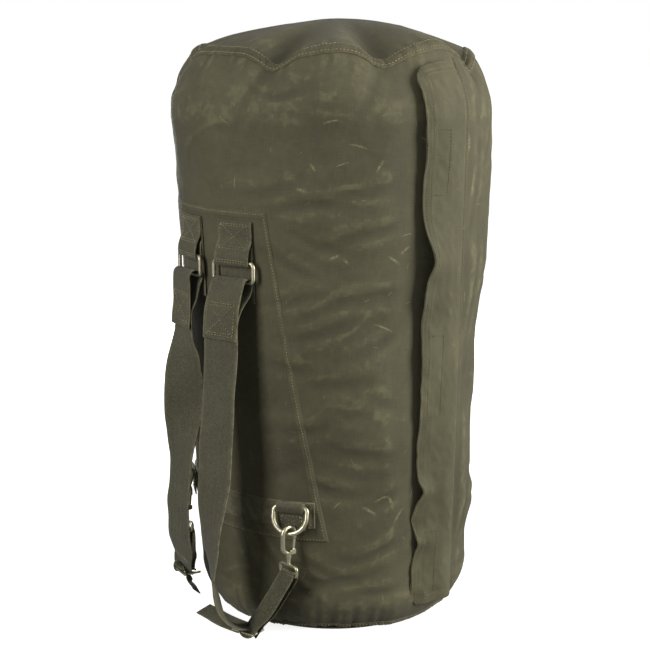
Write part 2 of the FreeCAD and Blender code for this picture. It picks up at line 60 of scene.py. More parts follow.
# The driving sizes of the CAD part, repeated here in metres
WEB, TAPE = 2.0 * MM, 1.6 * MM
WIDE, NARROW, D_TAB = 50 * MM, 25 * MM, 34 * MM
SEAM_HALF = 7 * MM
PATCH_HALVES, PATCH_HEIGHTS = (129 * MM, 82 * MM), (129 * MM, 535 * MM)     # at the bottom, at the top
TAB_AZ, D_AZ, BAND_AZ = 12.2, 32.0, 41
RING_WIRE, EYE_WIRE = 5 * MM, 4 * MM
RING_BAR, RING_OUT = 474, 8           # the ring's top bar: height, and distance from the wall, mm
D_BAR, D_OUT = 176.0, 9               # the same for the D-ring's bar
ZIP_LOW, ZIP_HIGH = (98.5, 60 * MM), (92.0, 640 * MM)                 # azimuth, height
SLOT_HALF, SLOT_DEEP = 10 * MM, 7 * MM
FLAP_SECTION = [(18, 1.8), (11, 8.6), (0, 12.0), (-26, 8.4), (-51, -0.6)]    # sideways, outward, mm
FLAP_LOW, FLAP_ARC = -28 * MM, 36.0
SHOULDER = 92.3 * MM
STRIPS = [(-12, 72), (222, 326), (496, 572)]      # the hook-and-loop lengths, up the flap, mm

# Each strap's side, and its outer layer downwards: distance from the middle, height, mm, and twist
STRAPS = {
    "right": (1, [(226, 404, 0), (229, 353, 0), (233, 324, -3), (240, 260, 0), (245, 216, -2),
                  (251, 180, -14), (254, 133, -28), (253.5, 108, -40)]),
    "left": (-1, [(213, 404, 0), (213.5, 375, 3), (214, 350, 22), (215, 322, 42), (215.5, 290, 54),
                  (219, 250, 26), (221, 226, 14), (222.5, 195, 5), (226, 158, 8), (226, 125, 8)]),
}
# From there to the buckle: x, y, z, width, mm, and twist
STRAP_ENDS = {
    "right": [(53.9, -244, 78, 44, -50), (54.2, -236, 52, 36, -54), (54.6, -222, 30, 29, -38),
              (55, -205, 17, 25, -12), (55, -192, 12.5, 25, 0)],
    "left": [(-50.5, -217, 100, 48, 8), (-58, -208, 78, 36, 6), (-66, -199, 62, 26, 2),
             (-71, -193, 54.5, 25, 0)],
}


# Places --------------------------------------------------------------------------------------

def at(azimuth, r, z):
    a = np.radians(azimuth)
    r, z, a = np.broadcast_arrays(np.asarray(r, float), np.asarray(z, float), a)
    return np.stack([r * np.sin(a), -r * np.cos(a), z], -1)


def unit(v):
    return v / np.maximum(np.linalg.norm(v, axis=-1, keepdims=True), 1e-12)


def smooth_step(x):
    x = np.clip(x, 0, 1)
    return x * x * (3 - 2 * x)


def bell(x, width):
    return np.exp(-(x / width) ** 2)


def turned_from(azimuth, centre):
    """How far round an azimuth is from a centre, within half a turn either way."""
    return (azimuth - centre + 180) % 360 - 180


def run_along(points):
    """The distance along a line at each of its points."""
    return np.concatenate([[0], np.cumsum(np.linalg.norm(np.diff(points, axis=0), axis=1))])


def sample(where, run, rows):
    """Rows of values along a line, read at other distances."""
    return np.stack([np.interp(where, run, column) for column in rows.T], -1)


def spline(points, spacing, extra=None):
    """A smooth line through the points, evenly spaced. extra rides along with the points."""
    points = np.asarray(points, float)
    extra = np.zeros((len(points), 0)) if extra is None else np.asarray(extra, float)
    rows = np.hstack([points, extra])
    padded = np.vstack([2 * rows[0] - rows[1], rows, 2 * rows[-1] - rows[-2]])
    fine = []
    for p0, p1, p2, p3 in zip(padded, padded[1:], padded[2:], padded[3:]):
        pairs = ((p0, p1), (p1, p2), (p2, p3))
        d = [max(np.linalg.norm(b[:3] - a[:3]), 1e-9) ** 0.5 for a, b in pairs]
        m1 = (p1 - p0) / d[0] - (p2 - p0) / (d[0] + d[1]) + (p2 - p1) / d[1]
        m2 = (p2 - p1) / d[1] - (p3 - p1) / (d[1] + d[2]) + (p3 - p2) / d[2]
        m1, m2 = m1 * d[1], m2 * d[1]
        u = np.linspace(0, 1, 40, endpoint=False)[:, None]
        fine.append((2 * u**3 - 3 * u**2 + 1) * p1 + (u**3 - 2 * u**2 + u) * m1
                    + (3 * u**2 - 2 * u**3) * p2 + (u**3 - u**2) * m2)
    fine = np.vstack([*fine, rows[-1:]])
    run = run_along(fine[:, :3])
    steps = max(2, int(round(run[-1] / spacing)) + 1)
    line = sample(np.linspace(0, run[-1], steps), run, fine)
    return (line[:, :3], line[:, 3:]) if extra.shape[1] else line


def waves(points, size, seed, stretch=(1, 1, 1), count=26):
    """A smooth random field of about -1 to 1, with lumps of that size."""
    draw = np.random.default_rng(seed)
    k = unit(draw.normal(size=(count, 3))) * TAU / size
    k = k * draw.uniform(0.6, 1.5, (count, 1)) / np.array(stretch)
    phase = draw.uniform(0, TAU, count)
    flat = points.reshape(-1, 3)
    total = np.sin(flat @ k.T + phase).sum(1) * math.sqrt(2 / count) / 1.7
    return total.reshape(points.shape[:-1])


# Canvas skin ---------------------------------------------------------------------------------

def cad_tree(*names):
    points, faces = [], []
    for name in names:
        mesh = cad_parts[name].data
        base = len(points)
        points += [v.co.copy() for v in mesh.vertices]
        faces += [[base + i for i in p.vertices] for p in mesh.polygons]
    return BVHTree.FromPolygons(points, faces)


def outline():
    """The bag's profile as (r, z) from the middle of the base to the crown's, read off the CAD skin."""
    tree = cad_tree("body_wall", "crown_panel", "base_panel")
    middle = Vector((0, 0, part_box("crown_panel")[1].z / 2))
    found = []
    for angle in np.radians(np.linspace(-89.5, 89.5, 900)):
        out = Vector((0, math.cos(angle), math.sin(angle)))
        hit = tree.ray_cast(middle + out, -out)[0]
        found.append((hit.y, hit.z))
    found = np.array([(0, found[0][1]), *found, (0, found[-1][1])])
    run = run_along(found)
    even = np.linspace(0, run[-1], 1400)
    kernel = np.hanning(17)
    kernel /= kernel.sum()
    margin = len(kernel) // 2
    padded = np.pad(sample(even, run, found), ((margin, margin), (0, 0)), mode="reflect", reflect_type="odd")
    smooth = np.stack([np.convolve(c, kernel, "valid") for c in padded.T], -1)
    tangent = unit(np.gradient(smooth, axis=0))
    return even, smooth[:, 0], smooth[:, 1], tangent[:, 1], -tangent[:, 0]


RUN, RUN_R, RUN_Z, RUN_NR, RUN_NZ = outline()
RIM = int(np.argmax(RUN_R > RUN_R.max() * 0.7))
SEAM_Z = (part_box("crown_seam_band")[0].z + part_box("crown_seam_band")[1].z) / 2
SEAM_RUN = float(np.interp(SEAM_Z, RUN_Z[RIM:], RUN[RIM:]))
RIM_RUN, TOP_RUN = float(RUN[RIM]), float(RUN[-1])
MEAN_R = 0.19             # the radius that turns azimuths into lengths of cloth


def wall_r(z):
    """The wall's radius at a height, before its relief."""
    return np.interp(z, RUN_Z[RIM:], RUN_R[RIM:])


# Dips of the crown seam, where the crown panel buckles in: azimuth, depth in mm, half width
SEAM_DIPS = [(25, 17, 7.5), (66, 15, 8), (117, 21, 11), (156, 12, 8), (199, 17, 9), (240, 11, 8),
             (283, 15, 8), (327, 14, 9)]
# Its high places: azimuth, height in mm, half width
SEAM_CRESTS = [(52, 4, 12), (92, 8, 10), (176, 5, 10), (262, 5, 9), (305, 3, 9), (0, 2, 12)]

# Soft folds: azimuth, height, half length, slope in degrees, width, depth, all mm but the angles
FOLDS = [
    (31, 668, 26, 3, 7, 2.6), (20, 676, 9, -20, 4, 1.2), (16, 554, 42, 2, 8, 2.0),
    (40, 545, 40, 6, 7, 2.2), (62, 560, 45, 10, 7, 1.6), (55, 507, 46, 14, 8, 2.4),
    (71, 522, 30, 24, 6, 2.2), (45, 494, 30, -16, 7, 1.8), (34, 470, 34, -30, 7, 1.6),
    (30, 428, 44, 8, 8, 2.2), (56, 433, 60, 12, 9, 2.8), (74, 446, 26, 20, 6, 2.0),
    (42, 392, 40, 18, 8, 2.0), (66, 380, 38, 30, 8, 2.0), (31, 348, 32, -8, 9, 2.2),
    (52, 330, 46, 6, 9, 1.8), (70, 300, 36, -14, 8, 1.8), (36, 270, 42, 10, 9, 2.0),
    (60, 238, 44, -8, 9, 2.0), (27, 214, 30, 22, 8, 1.6), (48, 192, 34, -18, 8, 2.2),
    (72, 186, 34, 30, 8, 2.4), (78, 132, 40, 36, 8, 2.6), (66, 112, 30, 24, 7, 1.8),
    (26, 118, 62, -48, 7, 3.0), (18, 122, 58, -58, 6, 2.6), (38, 100, 44, -34, 7, 2.2),
    (10, 110, 48, -66, 6, 2.0), (50, 74, 38, 8, 8, 2.4), (70, 58, 40, 4, 8, 2.2),
    (30, 56, 34, 12, 7, 2.0), (108, 560, 60, 84, 7, 1.6), (112, 420, 70, 80, 8, 2.0),
    (108, 240, 70, 94, 8, 2.0), (116, 130, 50, 70, 8, 2.4), (122, 620, 40, 60, 8, 1.8),
]
BACK_FOLDS = 58
FOLD_DEPTH = 0.66         # share of the folds' depths that shows once they overlap

# Ruffles by the crown and base seams: run along the profile, reach, depth in mm, seed
GATHERS = [(SEAM_RUN, 0.020, 0.7, 21), (RIM_RUN + 0.012, 0.034, 1.0, 23)]
# Waves of a gather: how many round the bag, by how much the seed shifts it, height
RUFFLES = [(31, 1, 0.5), (47, 2, 0.6), (67, 3, 0.5), (19, 5, 0.5), (89, 1, 0.3)]


def folds():
    """The front's folds, and more of the same kind all the way round the back."""
    draw = np.random.default_rng(11)
    rest = []
    for _ in range(BACK_FOLDS):
        rest.append((draw.uniform(124, 344), draw.uniform(70, 690), draw.uniform(22, 62),
                     draw.normal(4, 20), draw.uniform(6, 10), draw.uniform(1.2, 3.0)))
    return FOLDS + rest


def seam_wave(azimuth):
    """How far the crown seam is above its CAD height."""
    total = np.full(np.shape(azimuth), 7.5)
    for centre, depth, width in SEAM_DIPS:
        total = total - depth * bell(turned_from(azimuth, centre), width)
    for centre, height, width in SEAM_CRESTS:
        total = total + height * bell(turned_from(azimuth, centre), width)
    return total * MM


def zip_azimuth(z):
    """Where the zipper line is at a height."""
    share = (z - ZIP_LOW[1]) / (ZIP_HIGH[1] - ZIP_LOW[1])
    return ZIP_LOW[0] + (ZIP_HIGH[0] - ZIP_LOW[0]) * share


def sag(place):
    """The stuffed canvas's long sags, the ridges between them and its crumple, in mm."""
    total = 3.2 * waves(place, 0.21, 1, (1.3, 1.3, 0.8)) + 0.9 * waves(place, 0.085, 2, (1.3, 1.3, 1.0))
    warp = place + 0.02 * np.stack([waves(place, 0.11, seed) for seed in (5, 6, 7)], -1)
    ridge = 1 - np.abs(waves(warp, 0.15, 3, (1.9, 1.9, 0.7))) * 3.0
    total = total + 0.6 * np.clip(ridge, 0, 1) ** 2 * smooth_step(0.5 + waves(place, 0.12, 9))
    return total + 0.25 * waves(place, 0.034, 4, (1.6, 1.6, 0.8)) + 0.08 * waves(place, 0.013, 8)


def fold_relief(azimuth, place, centre, height, half, slope, width, depth):
    """One fold: a valley between two low ridges, bent a little along its length."""
    radius = np.hypot(place[..., 0], place[..., 1])
    x = np.radians(turned_from(azimuth, centre)) * np.maximum(radius, 0.05)
    y = place[..., 2] - height * MM
    c, s = math.cos(math.radians(slope)), math.sin(math.radians(slope))
    along, across = x * c + y * s, y * c - x * s
    across = across + 0.12 * along**2 / (half * MM) * (1 if int(height) % 2 else -1)
    return FOLD_DEPTH * depth * bell(along, half * MM) * (
        0.6 * bell(across - 1.5 * width * MM, width * MM * 1.4) - bell(across, width * MM)
        + 0.35 * bell(across + 1.7 * width * MM, width * MM * 1.2))


def gather_relief(azimuth, run, centre, reach, depth, seed):
    """Puckers drawn up by a seam."""
    turn = np.radians(azimuth)
    ruffle = sum(np.sin(turn * count + seed * shift) * high for count, shift, high in RUFFLES)
    near = bell(run - centre, reach) * (1 - 0.45 * bell(run - centre, 0.004))
    return depth * near * np.where(ruffle > 0, ruffle * 0.7, ruffle)


def buckles(azimuth, run):
    """The crown buckles in above each dip of its seam, and a crease runs down the wall below it."""
    hollow = 0.0
    for centre, depth, width in SEAM_DIPS:
        off = turned_from(azimuth, centre)
        inside = np.clip((run - SEAM_RUN) / 0.030, 0, None)
        near = bell(off - 2, width * (1.1 + 0.25 * inside))
        hollow = hollow - 0.50 * depth * near * inside * np.exp(1 - inside)
        below = np.clip((SEAM_RUN - run) / 0.024, 0, None)
        hollow = hollow - 0.11 * depth * bell(off + 3 * below, width * 0.35) * below * np.exp(1 - below)
    return hollow


def quietness(azimuth, z):
    """1 on free canvas, and little where hardware lies and beside the zipper."""
    turn_off = np.abs(turned_from(azimuth, 0))
    hardware = bell((turn_off - TAB_AZ), 13)
    hardware = hardware * smooth_step((z - 0.36) / 0.06) * smooth_step((0.60 - z) / 0.06)
    hardware = np.maximum(hardware, bell(turn_off - D_AZ, 10) * bell(z - 0.15, 0.05))
    beside = turned_from(azimuth, zip_azimuth(z))
    zipper = smooth_step((beside + 31) / 9) * smooth_step((15 - beside) / 6) * smooth_step((0.72 - z) / 0.06)
    return 1 - 0.9 * np.clip(hardware + zipper, 0, 1)


def relief(azimuth, run, place):
    """How far the canvas stands out from the CAD skin: sag, folds, crumple and puckers."""
    z = place[..., 2]
    total = sag(place)
    for fold in folds():
        total = total + fold_relief(azimuth, place, *fold)
    for gather in GATHERS:
        total = total + gather_relief(azimuth, run, *gather)
    total = np.clip(total, -8.0, 6.0) * quietness(azimuth, z) + buckles(azimuth, run)
    # One bulge and one dent of the contents, behind the flap
    total = total + 6.5 * bell(azimuth - 133, 16) * bell(z - 0.135, 0.028)
    total = total - 3.5 * bell(azimuth - 132, 18) * bell(z - 0.36, 0.06)
    return total * smooth_step((run - RIM_RUN * 0.5) / 0.03 + 0.15) * MM


def skin_run(azimuth, run, lift=0.0):
    """Points on the displaced canvas, at a run along the profile, and its normal."""
    azimuth, run = np.broadcast_arrays(np.asarray(azimuth, float), np.asarray(run, float))
    r, z = np.interp(run, RUN, RUN_R), np.interp(run, RUN, RUN_Z)
    nr, nz = np.interp(run, RUN, RUN_NR), np.interp(run, RUN, RUN_NZ)
    out = relief(azimuth, run, at(azimuth, r, z)) + lift
    reach = np.where(run < SEAM_RUN, 0.042, 0.075)
    rise = seam_wave(azimuth) * bell(run - SEAM_RUN, reach)
    floor = np.maximum(z + nz * out + rise, 0.0006)
    return at(azimuth, r + nr * out, floor), unit(at(azimuth, nr, nz))


def run_of(z):
    return np.interp(z, RUN_Z[RIM:], RUN[RIM:])


def skin(azimuth, z, lift=0.0):
    return skin_run(azimuth, run_of(z), lift)


# Meshes --------------------------------------------------------------------------------------

def new_mesh(name, points, faces, material, cloth=None, wear_and_shade=None, sharp=42):
    mesh = bpy.data.meshes.new(name)
    mesh.from_pydata(np.asarray(points, float).tolist(), [], faces)
    kinds = (("cloth", "FLOAT_VECTOR", "vector", cloth), ("wear_and_shade", "FLOAT", "value", wear_and_shade))
    for layer, kind, field, values in kinds:
        if values is not None:
            made = mesh.attributes.new(layer, kind, "POINT")
            made.data.foreach_set(field, np.asarray(values, np.float32).ravel())
    mesh.validate()
    mesh.update()
    mesh.shade_smooth()
    mesh.set_sharp_from_angle(angle=math.radians(sharp))
    obj = bpy.data.objects.new(name, mesh)
    bpy.context.scene.collection.objects.link(obj)
    obj.data.materials.append(material)
    return obj


def grid_faces(rows, columns, wrap=False, start=0, flip=False):
    i, j = np.meshgrid(np.arange(rows - 1), np.arange(columns if wrap else columns - 1), indexing="ij")
    k = (j + 1) % columns
    low, high = start + i * columns, start + (i + 1) * columns
    quads = np.stack([low + j, low + k, high + k, high + j], -1).reshape(-1, 4)
    return (quads[:, ::-1] if flip else quads).tolist()


def normals_of(points):
    """Normals of a grid whose rows run up and columns run to the right, seen from outside."""
    return unit(np.cross(np.gradient(points, axis=1), np.gradient(points, axis=0)))


def slab_mesh(name, outer, inner, material, cloth, wear_and_shade=None, sharp=42):
    """A closed sheet between two grids of points, with its edges rolled over."""
    rows, columns = outer.shape[:2]
    middle = (outer + inner) / 2
    swell = np.linalg.norm(outer - inner, axis=-1, keepdims=True) * 0.35

    def ring(grid):
        return np.concatenate([grid[0, :-1], grid[:-1, -1], grid[-1, :0:-1], grid[:0:-1, 0]])

    outward = np.zeros_like(middle)
    outward[0] += unit(middle[0] - middle[1])
    outward[-1] += unit(middle[-1] - middle[-2])
    outward[:, 0] += unit(middle[:, 0] - middle[:, 1])
    outward[:, -1] += unit(middle[:, -1] - middle[:, -2])
    index = np.arange(rows * columns).reshape(rows, columns)
    edge = ring(index)
    rim = ring(middle) + unit(ring(outward)) * ring(swell)
    total = rows * columns
    points = np.vstack([outer.reshape(-1, 3), inner.reshape(-1, 3), rim])
    faces = grid_faces(rows, columns) + grid_faces(rows, columns, start=total, flip=True)
    count = len(edge)
    for a in range(count):
        b = (a + 1) % count
        faces.append([2 * total + a, 2 * total + b, edge[b], edge[a]])
        faces.append([total + edge[a], total + edge[b], 2 * total + b, 2 * total + a])
    faces = [[int(v) for v in f] for f in faces]
    flat = cloth.reshape(-1, 3)
    cloths = np.vstack([flat, flat, flat[edge]])
    worn = None
    if wear_and_shade is not None:
        worn = np.concatenate([wear_and_shade.ravel(), wear_and_shade.ravel(), np.clip(wear_and_shade.ravel()[edge] + 0.35, 0, 1)])
    return new_mesh(name, points, faces, material, cloths, worn, sharp)


def wear_and_shade_of(points, normals, reach=3):
    """High on ridges and low in valleys, from how far a grid stands above its own average: ridges worn pale,
    and valleys darkened as painted shade.
    """
    soft = points.copy()
    for _ in range(reach):
        p = np.pad(soft, ((1, 1), (0, 0), (0, 0)), mode="edge")
        soft = (p[:-2] + p[1:-1] + p[2:]) / 3
        p = np.pad(soft, ((0, 0), (1, 1), (0, 0)), mode="edge")
        soft = (p[:, :-2] + p[:, 1:-1] + p[:, 2:]) / 3
    height = ((points - soft) * normals).sum(-1)
    return np.clip(0.5 + height / (0.5 * MM), 0, 1)


class Strip:
    """Webbing along a line, with points on it by distance along and sideways."""

    def __init__(self, line, across, width, thickness, spacing):
        self.centre, side = spline(line, spacing, across)
        self.tangent = unit(np.gradient(self.centre, axis=0))
        side = side - self.tangent * (side * self.tangent).sum(-1, keepdims=True)
        self.side = unit(side)
        self.normal = unit(np.cross(self.side, self.tangent))
        self.run = run_along(self.centre)
        self.long = float(self.run[-1])
        self.width = np.full(len(self.run), width)
        self.thick = thickness

    def at(self, run, sideways, lift=0.0, face=1):
        run = np.asarray(run, float)
        centre, side, normal = (sample(run, self.run, a) for a in (self.centre, self.side, self.normal))
        normal = unit(normal) * face
        sideways = np.asarray(sideways, float)[..., None]
        return centre + side * sideways + normal * (self.thick / 2 + lift), normal

    def mesh(self, name, material, columns, ripple, seed, rib=0.0, pitch=2.2 * MM):
        """A closed band with rolled edges, which ripples, and with ribs of that height across it."""
        half = np.linspace(-0.5, 0.5, columns)
        # The section, as shares of the width and the thickness, and how far the edges roll out
        roll = [(0.5, 0.32, 0.010), (0.5, 0.0, 0.016), (0.5, -0.32, 0.010)]
        shape = [(a, 0.5, 0.0) for a in half] + [(a, b, e) for a, b, e in roll]
        shape += [(a, -0.5, 0.0) for a in half[::-1]] + [(-a, -b, -e) for a, b, e in roll]
        shape = np.array(shape)
        sideways = shape[None, :, 0] * self.width[:, None] + shape[None, :, 2] * 30 * MM
        wave = rib * np.sin(TAU * self.run / pitch)[:, None] * (np.abs(shape[None, :, 1]) > 0.45)
        edge = 1 - 0.18 * (np.abs(shape[None, :, 0]) > 0.47)
        up = shape[None, :, 1] * self.thick * edge + np.sign(shape[None, :, 1]) * wave
        points = (self.centre[:, None] + self.side[:, None] * sideways[..., None]
                  + self.normal[:, None] * up[..., None])
        points = points + self.normal[:, None] * (ripple * waves(points, 0.05, seed))[..., None]
        rows, ring = points.shape[:2]
        along = np.broadcast_to(self.run[:, None], sideways.shape)
        cloth = np.stack([sideways, along, np.zeros_like(sideways)], -1)
        faces = grid_faces(rows, ring, wrap=True)
        faces += [list(range(ring))[::-1], list(range((rows - 1) * ring, rows * ring))]
        worn = np.broadcast_to(np.clip(np.abs(shape[:, 0]) * 2 - 0.86, 0, 1) * 6, sideways.shape)
        points, cloth = points.reshape(-1, 3), cloth.reshape(-1, 3)
        return new_mesh(name, points, faces, material, cloth, np.clip(worn, 0, 1), 50)


def stitches(name, rows, material, pitch=3.8 * MM, long=2.3 * MM, thick=0.46 * MM, seed=3):
    """Thread along lines of (points, normals): each stitch is a small grain that dips in at both ends."""
    draw = np.random.default_rng(seed)
    # A stitch's rings of points: share of its length, thickness and height as shares of the thread's
    ring, stations = 5, np.array([-0.5, -0.36, 0.0, 0.36, 0.5])
    fat = np.array([0.25, 0.8, 1.0, 0.8, 0.25])
    sink = np.array([-1.3, -0.2, 0.35, -0.2, -1.3])
    near = 0.4 * MM
    turn = np.arange(ring) * TAU / ring
    verts, faces = [], []
    for points, normals in rows:
        points, normals = np.asarray(points, float), np.asarray(normals, float)
        run = run_along(points)
        count = int(run[-1] / pitch)
        if count < 1:
            continue
        mids = (np.arange(count) + 0.5) * run[-1] / count + draw.normal(0, 0.1 * MM, count)
        place, normal = sample(mids, run, points), sample(mids, run, normals)
        along = unit(sample(mids + near, run, points) - sample(mids - near, run, points))
        normal = unit(normal - along * (normal * along).sum(-1, keepdims=True))
        side = np.cross(along, normal)
        size = draw.uniform(0.88, 1.12, count)
        up = sink[:, None] * thick + np.sin(turn) * fat[:, None] * thick
        out = np.cos(turn) * fat[:, None] * thick
        body = (place[:, None, None]
                + along[:, None, None] * (stations * long)[None, :, None, None] * size[:, None, None, None]
                + normal[:, None, None] * up[None, ..., None] + side[:, None, None] * out[None, ..., None])
        start = len(verts) * len(stations) * ring
        verts.extend(body.reshape(count, -1, 3))
        one = grid_faces(len(stations), ring, wrap=True, flip=True)
        one += [list(range(ring)), [len(stations) * ring - 1 - i for i in range(ring)]]
        for i in range(count):
            shift = start + i * len(stations) * ring
            faces += [[v + shift for v in f] for f in one]
    points = np.concatenate(verts)
    return new_mesh(name, points, faces, material, points, sharp=80)


def sewn(azimuths, heights, lift):
    """A stitch line on the canvas through (azimuth, height) corners."""
    corners = np.stack([np.asarray(azimuths, float), np.asarray(heights, float)], -1)
    line = []
    for a, b in zip(corners, corners[1:]):
        steps = int(math.hypot(math.radians(b[0] - a[0]) * MEAN_R, b[1] - a[1]) / (2 * MM))
        line.append(np.linspace(a, b, max(2, steps), endpoint=False))
    line = np.vstack(line + [corners[-1:]])
    return skin(line[:, 0], line[:, 1], lift)


# Materials -----------------------------------------------------------------------------------

class Shader:
    """A material's node tree, with short calls for its nodes."""

    def __init__(self, name):
        self.material = bpy.data.materials.new(name)
        self.material.use_nodes = True
        self.tree = self.material.node_tree
        self.surface = self.tree.nodes["Principled BSDF"]

    def node(self, kind, inputs=(), **settings):
        made = self.tree.nodes.new(kind)
        for key, value in settings.items():
            setattr(made, key, value)
        for key, value in dict(inputs).items():
            self.put(made.inputs[key], value)
        return made

    def put(self, socket, value):
        if isinstance(value, bpy.types.NodeSocket):
            self.tree.links.new(value, socket)
        else:
            socket.default_value = value

    def calc(self, operation, a, b=0.0, c=0.0):
        return self.node("ShaderNodeMath", {0: a, 1: b, 2: c}, operation=operation).outputs[0]

    def total(self, *parts):
        """The sum of values, each with its factor."""
        made = self.calc("MULTIPLY", *parts[0])
        for value, factor in parts[1:]:
            made = self.calc("MULTIPLY_ADD", value, factor, made)
        return made

    def product(self, first, *more):
        for value in more:
            first = self.calc("MULTIPLY", first, value)
        return first

    def sine(self, value, wavelength):
        """Waves from 0 to 1 along a value."""
        wave = self.calc("SINE", self.calc("MULTIPLY", value, TAU / wavelength))
        return self.calc("MULTIPLY_ADD", wave, 0.5, 0.5)

    def axes(self, vector):
        return self.node("ShaderNodeSeparateXYZ", {0: vector}).outputs

    def moved(self, vector, centre, angle):
        """A vector's x and y about a centre, turned by an angle."""
        offset = self.node("ShaderNodeVectorMath", {0: vector, 1: centre}, operation="SUBTRACT").outputs[0]
        facts = {"Vector": offset, "Angle": angle}
        turned = self.node("ShaderNodeVectorRotate", facts, rotation_type="Z_AXIS").outputs[0]
        return self.axes(turned)

    def remap(self, value, low, high, to_low=0.0, to_high=1.0):
        return self.node("ShaderNodeMapRange", {0: value, 1: low, 2: high, 3: to_low, 4: to_high},
                         interpolation_type="SMOOTHSTEP").outputs[0]

    def noise(self, where, scale, detail=3.0, rough=0.55, warp=0.0):
        return self.node("ShaderNodeTexNoise", {"Vector": where, "Scale": scale, "Detail": detail,
                                                "Roughness": rough, "Distortion": warp}).outputs["Fac"]

    def stretch(self, where, x, y, z=1.0, turn=0.0):
        return self.node("ShaderNodeMapping", {"Vector": where, "Scale": (x, y, z),
                                               "Rotation": (0, 0, turn)}).outputs[0]

    def mix(self, share, a, b):
        made = self.node("ShaderNodeMix", data_type="RGBA")
        for socket, value in zip((made.inputs[0], made.inputs[6], made.inputs[7]), (share, a, b)):
            self.put(socket, value)
        return made.outputs[2]

    def place(self):
        return self.node("ShaderNodeTexCoord").outputs["Object"]

    def attribute(self, name, output="Vector"):
        return self.node("ShaderNodeAttribute", attribute_name=name).outputs[output]

    def bump(self, height, distance, strength=1.0, after=None):
        made = self.node("ShaderNodeBump", {"Height": height, "Distance": distance, "Strength": strength})
        if after is not None:
            self.put(made.inputs["Normal"], after)
        return made.outputs[0]

    def finish(self, color, roughness, normal, **constants):
        self.put(self.surface.inputs["Base Color"], color)
        self.put(self.surface.inputs["Roughness"], roughness)
        self.put(self.surface.inputs["Normal"], normal)
        for key, value in constants.items():
            self.surface.inputs[key.replace("_", " ")].default_value = value
        return self.material


def rgb(red, green, blue):
    """A linear colour from 0-255 sRGB values."""
    linear = [((v / 255 + 0.055) / 1.055) ** 2.4 if v > 10 else v / 3295 for v in (red, green, blue)]
    return (*linear, 1.0)


def strokes(s, where, cell, long, wide, share):
    """Scattered short pale scuffs, each at its own angle and a little bent."""
    cells = s.node("ShaderNodeTexVoronoi", {"Vector": where, "Scale": 1 / cell, "Randomness": 0.9})
    chance = s.node("ShaderNodeSeparateColor", {0: cells.outputs["Color"]}).outputs
    x, y, _ = s.moved(where, cells.outputs["Position"], s.calc("MULTIPLY", chance[0], TAU))
    bend = s.calc("MULTIPLY_ADD", chance[1], 30.0, -15.0)
    bent = s.calc("ADD", y, s.product(x, x, bend))
    across = s.remap(s.calc("ABSOLUTE", bent), wide, wide * 0.15)
    along = s.remap(s.calc("ABSOLUTE", x), long, long * 0.3)
    return s.product(across, along, s.calc("GREATER_THAN", chance[2], 1 - share))


def scuff(s, cloth, azimuth, z, turn, long, wide):
    """One pale scuff at a place on the wall, sizes in mm."""
    centre = (math.radians(azimuth + (360 if azimuth < 90 else 0)) * MEAN_R, float(run_of(z * MM)), 0)
    x, y, _ = s.moved(cloth, centre, math.radians(turn))
    bent = s.calc("MULTIPLY_ADD", s.product(x, x), 0.10 / (long * MM), y)
    across = s.remap(s.calc("ABSOLUTE", bent), wide * MM, 0.0)
    return s.product(across, s.remap(s.calc("ABSOLUTE", x), long * MM, long * 0.2 * MM))


# Pale scuffs on the wall: azimuth, height, turn in degrees, half length and half width in mm
SCUFFS = [(37, 562, 20, 9, 2.2), (41, 588, 60, 7, 2.6), (69, 479, 35, 11, 2.4), (73, 490, -40, 9, 2.0),
          (48, 484, -25, 8, 2.8), (52, 479, 50, 6, 2.2), (63, 589, -60, 10, 2.0), (21, 383, -62, 9, 2.4),
          (62, 168, 30, 14, 3.0), (67, 182, -20, 12, 2.4), (71, 176, 70, 12, 3.0), (74, 158, -55, 15, 2.2),
          (24, 352, -70, 10, 2.6), (101, 610, 80, 14, 3.4), (105, 560, 95, 18, 3.0), (30, 250, 25, 7, 2.2),
          (79, 618, 35, 8, 1.8), (56, 612, 15, 13, 1.6), (47, 640, -12, 12, 1.6), (66, 398, 25, 16, 1.8)]


WEAVE = 0.85 * MM


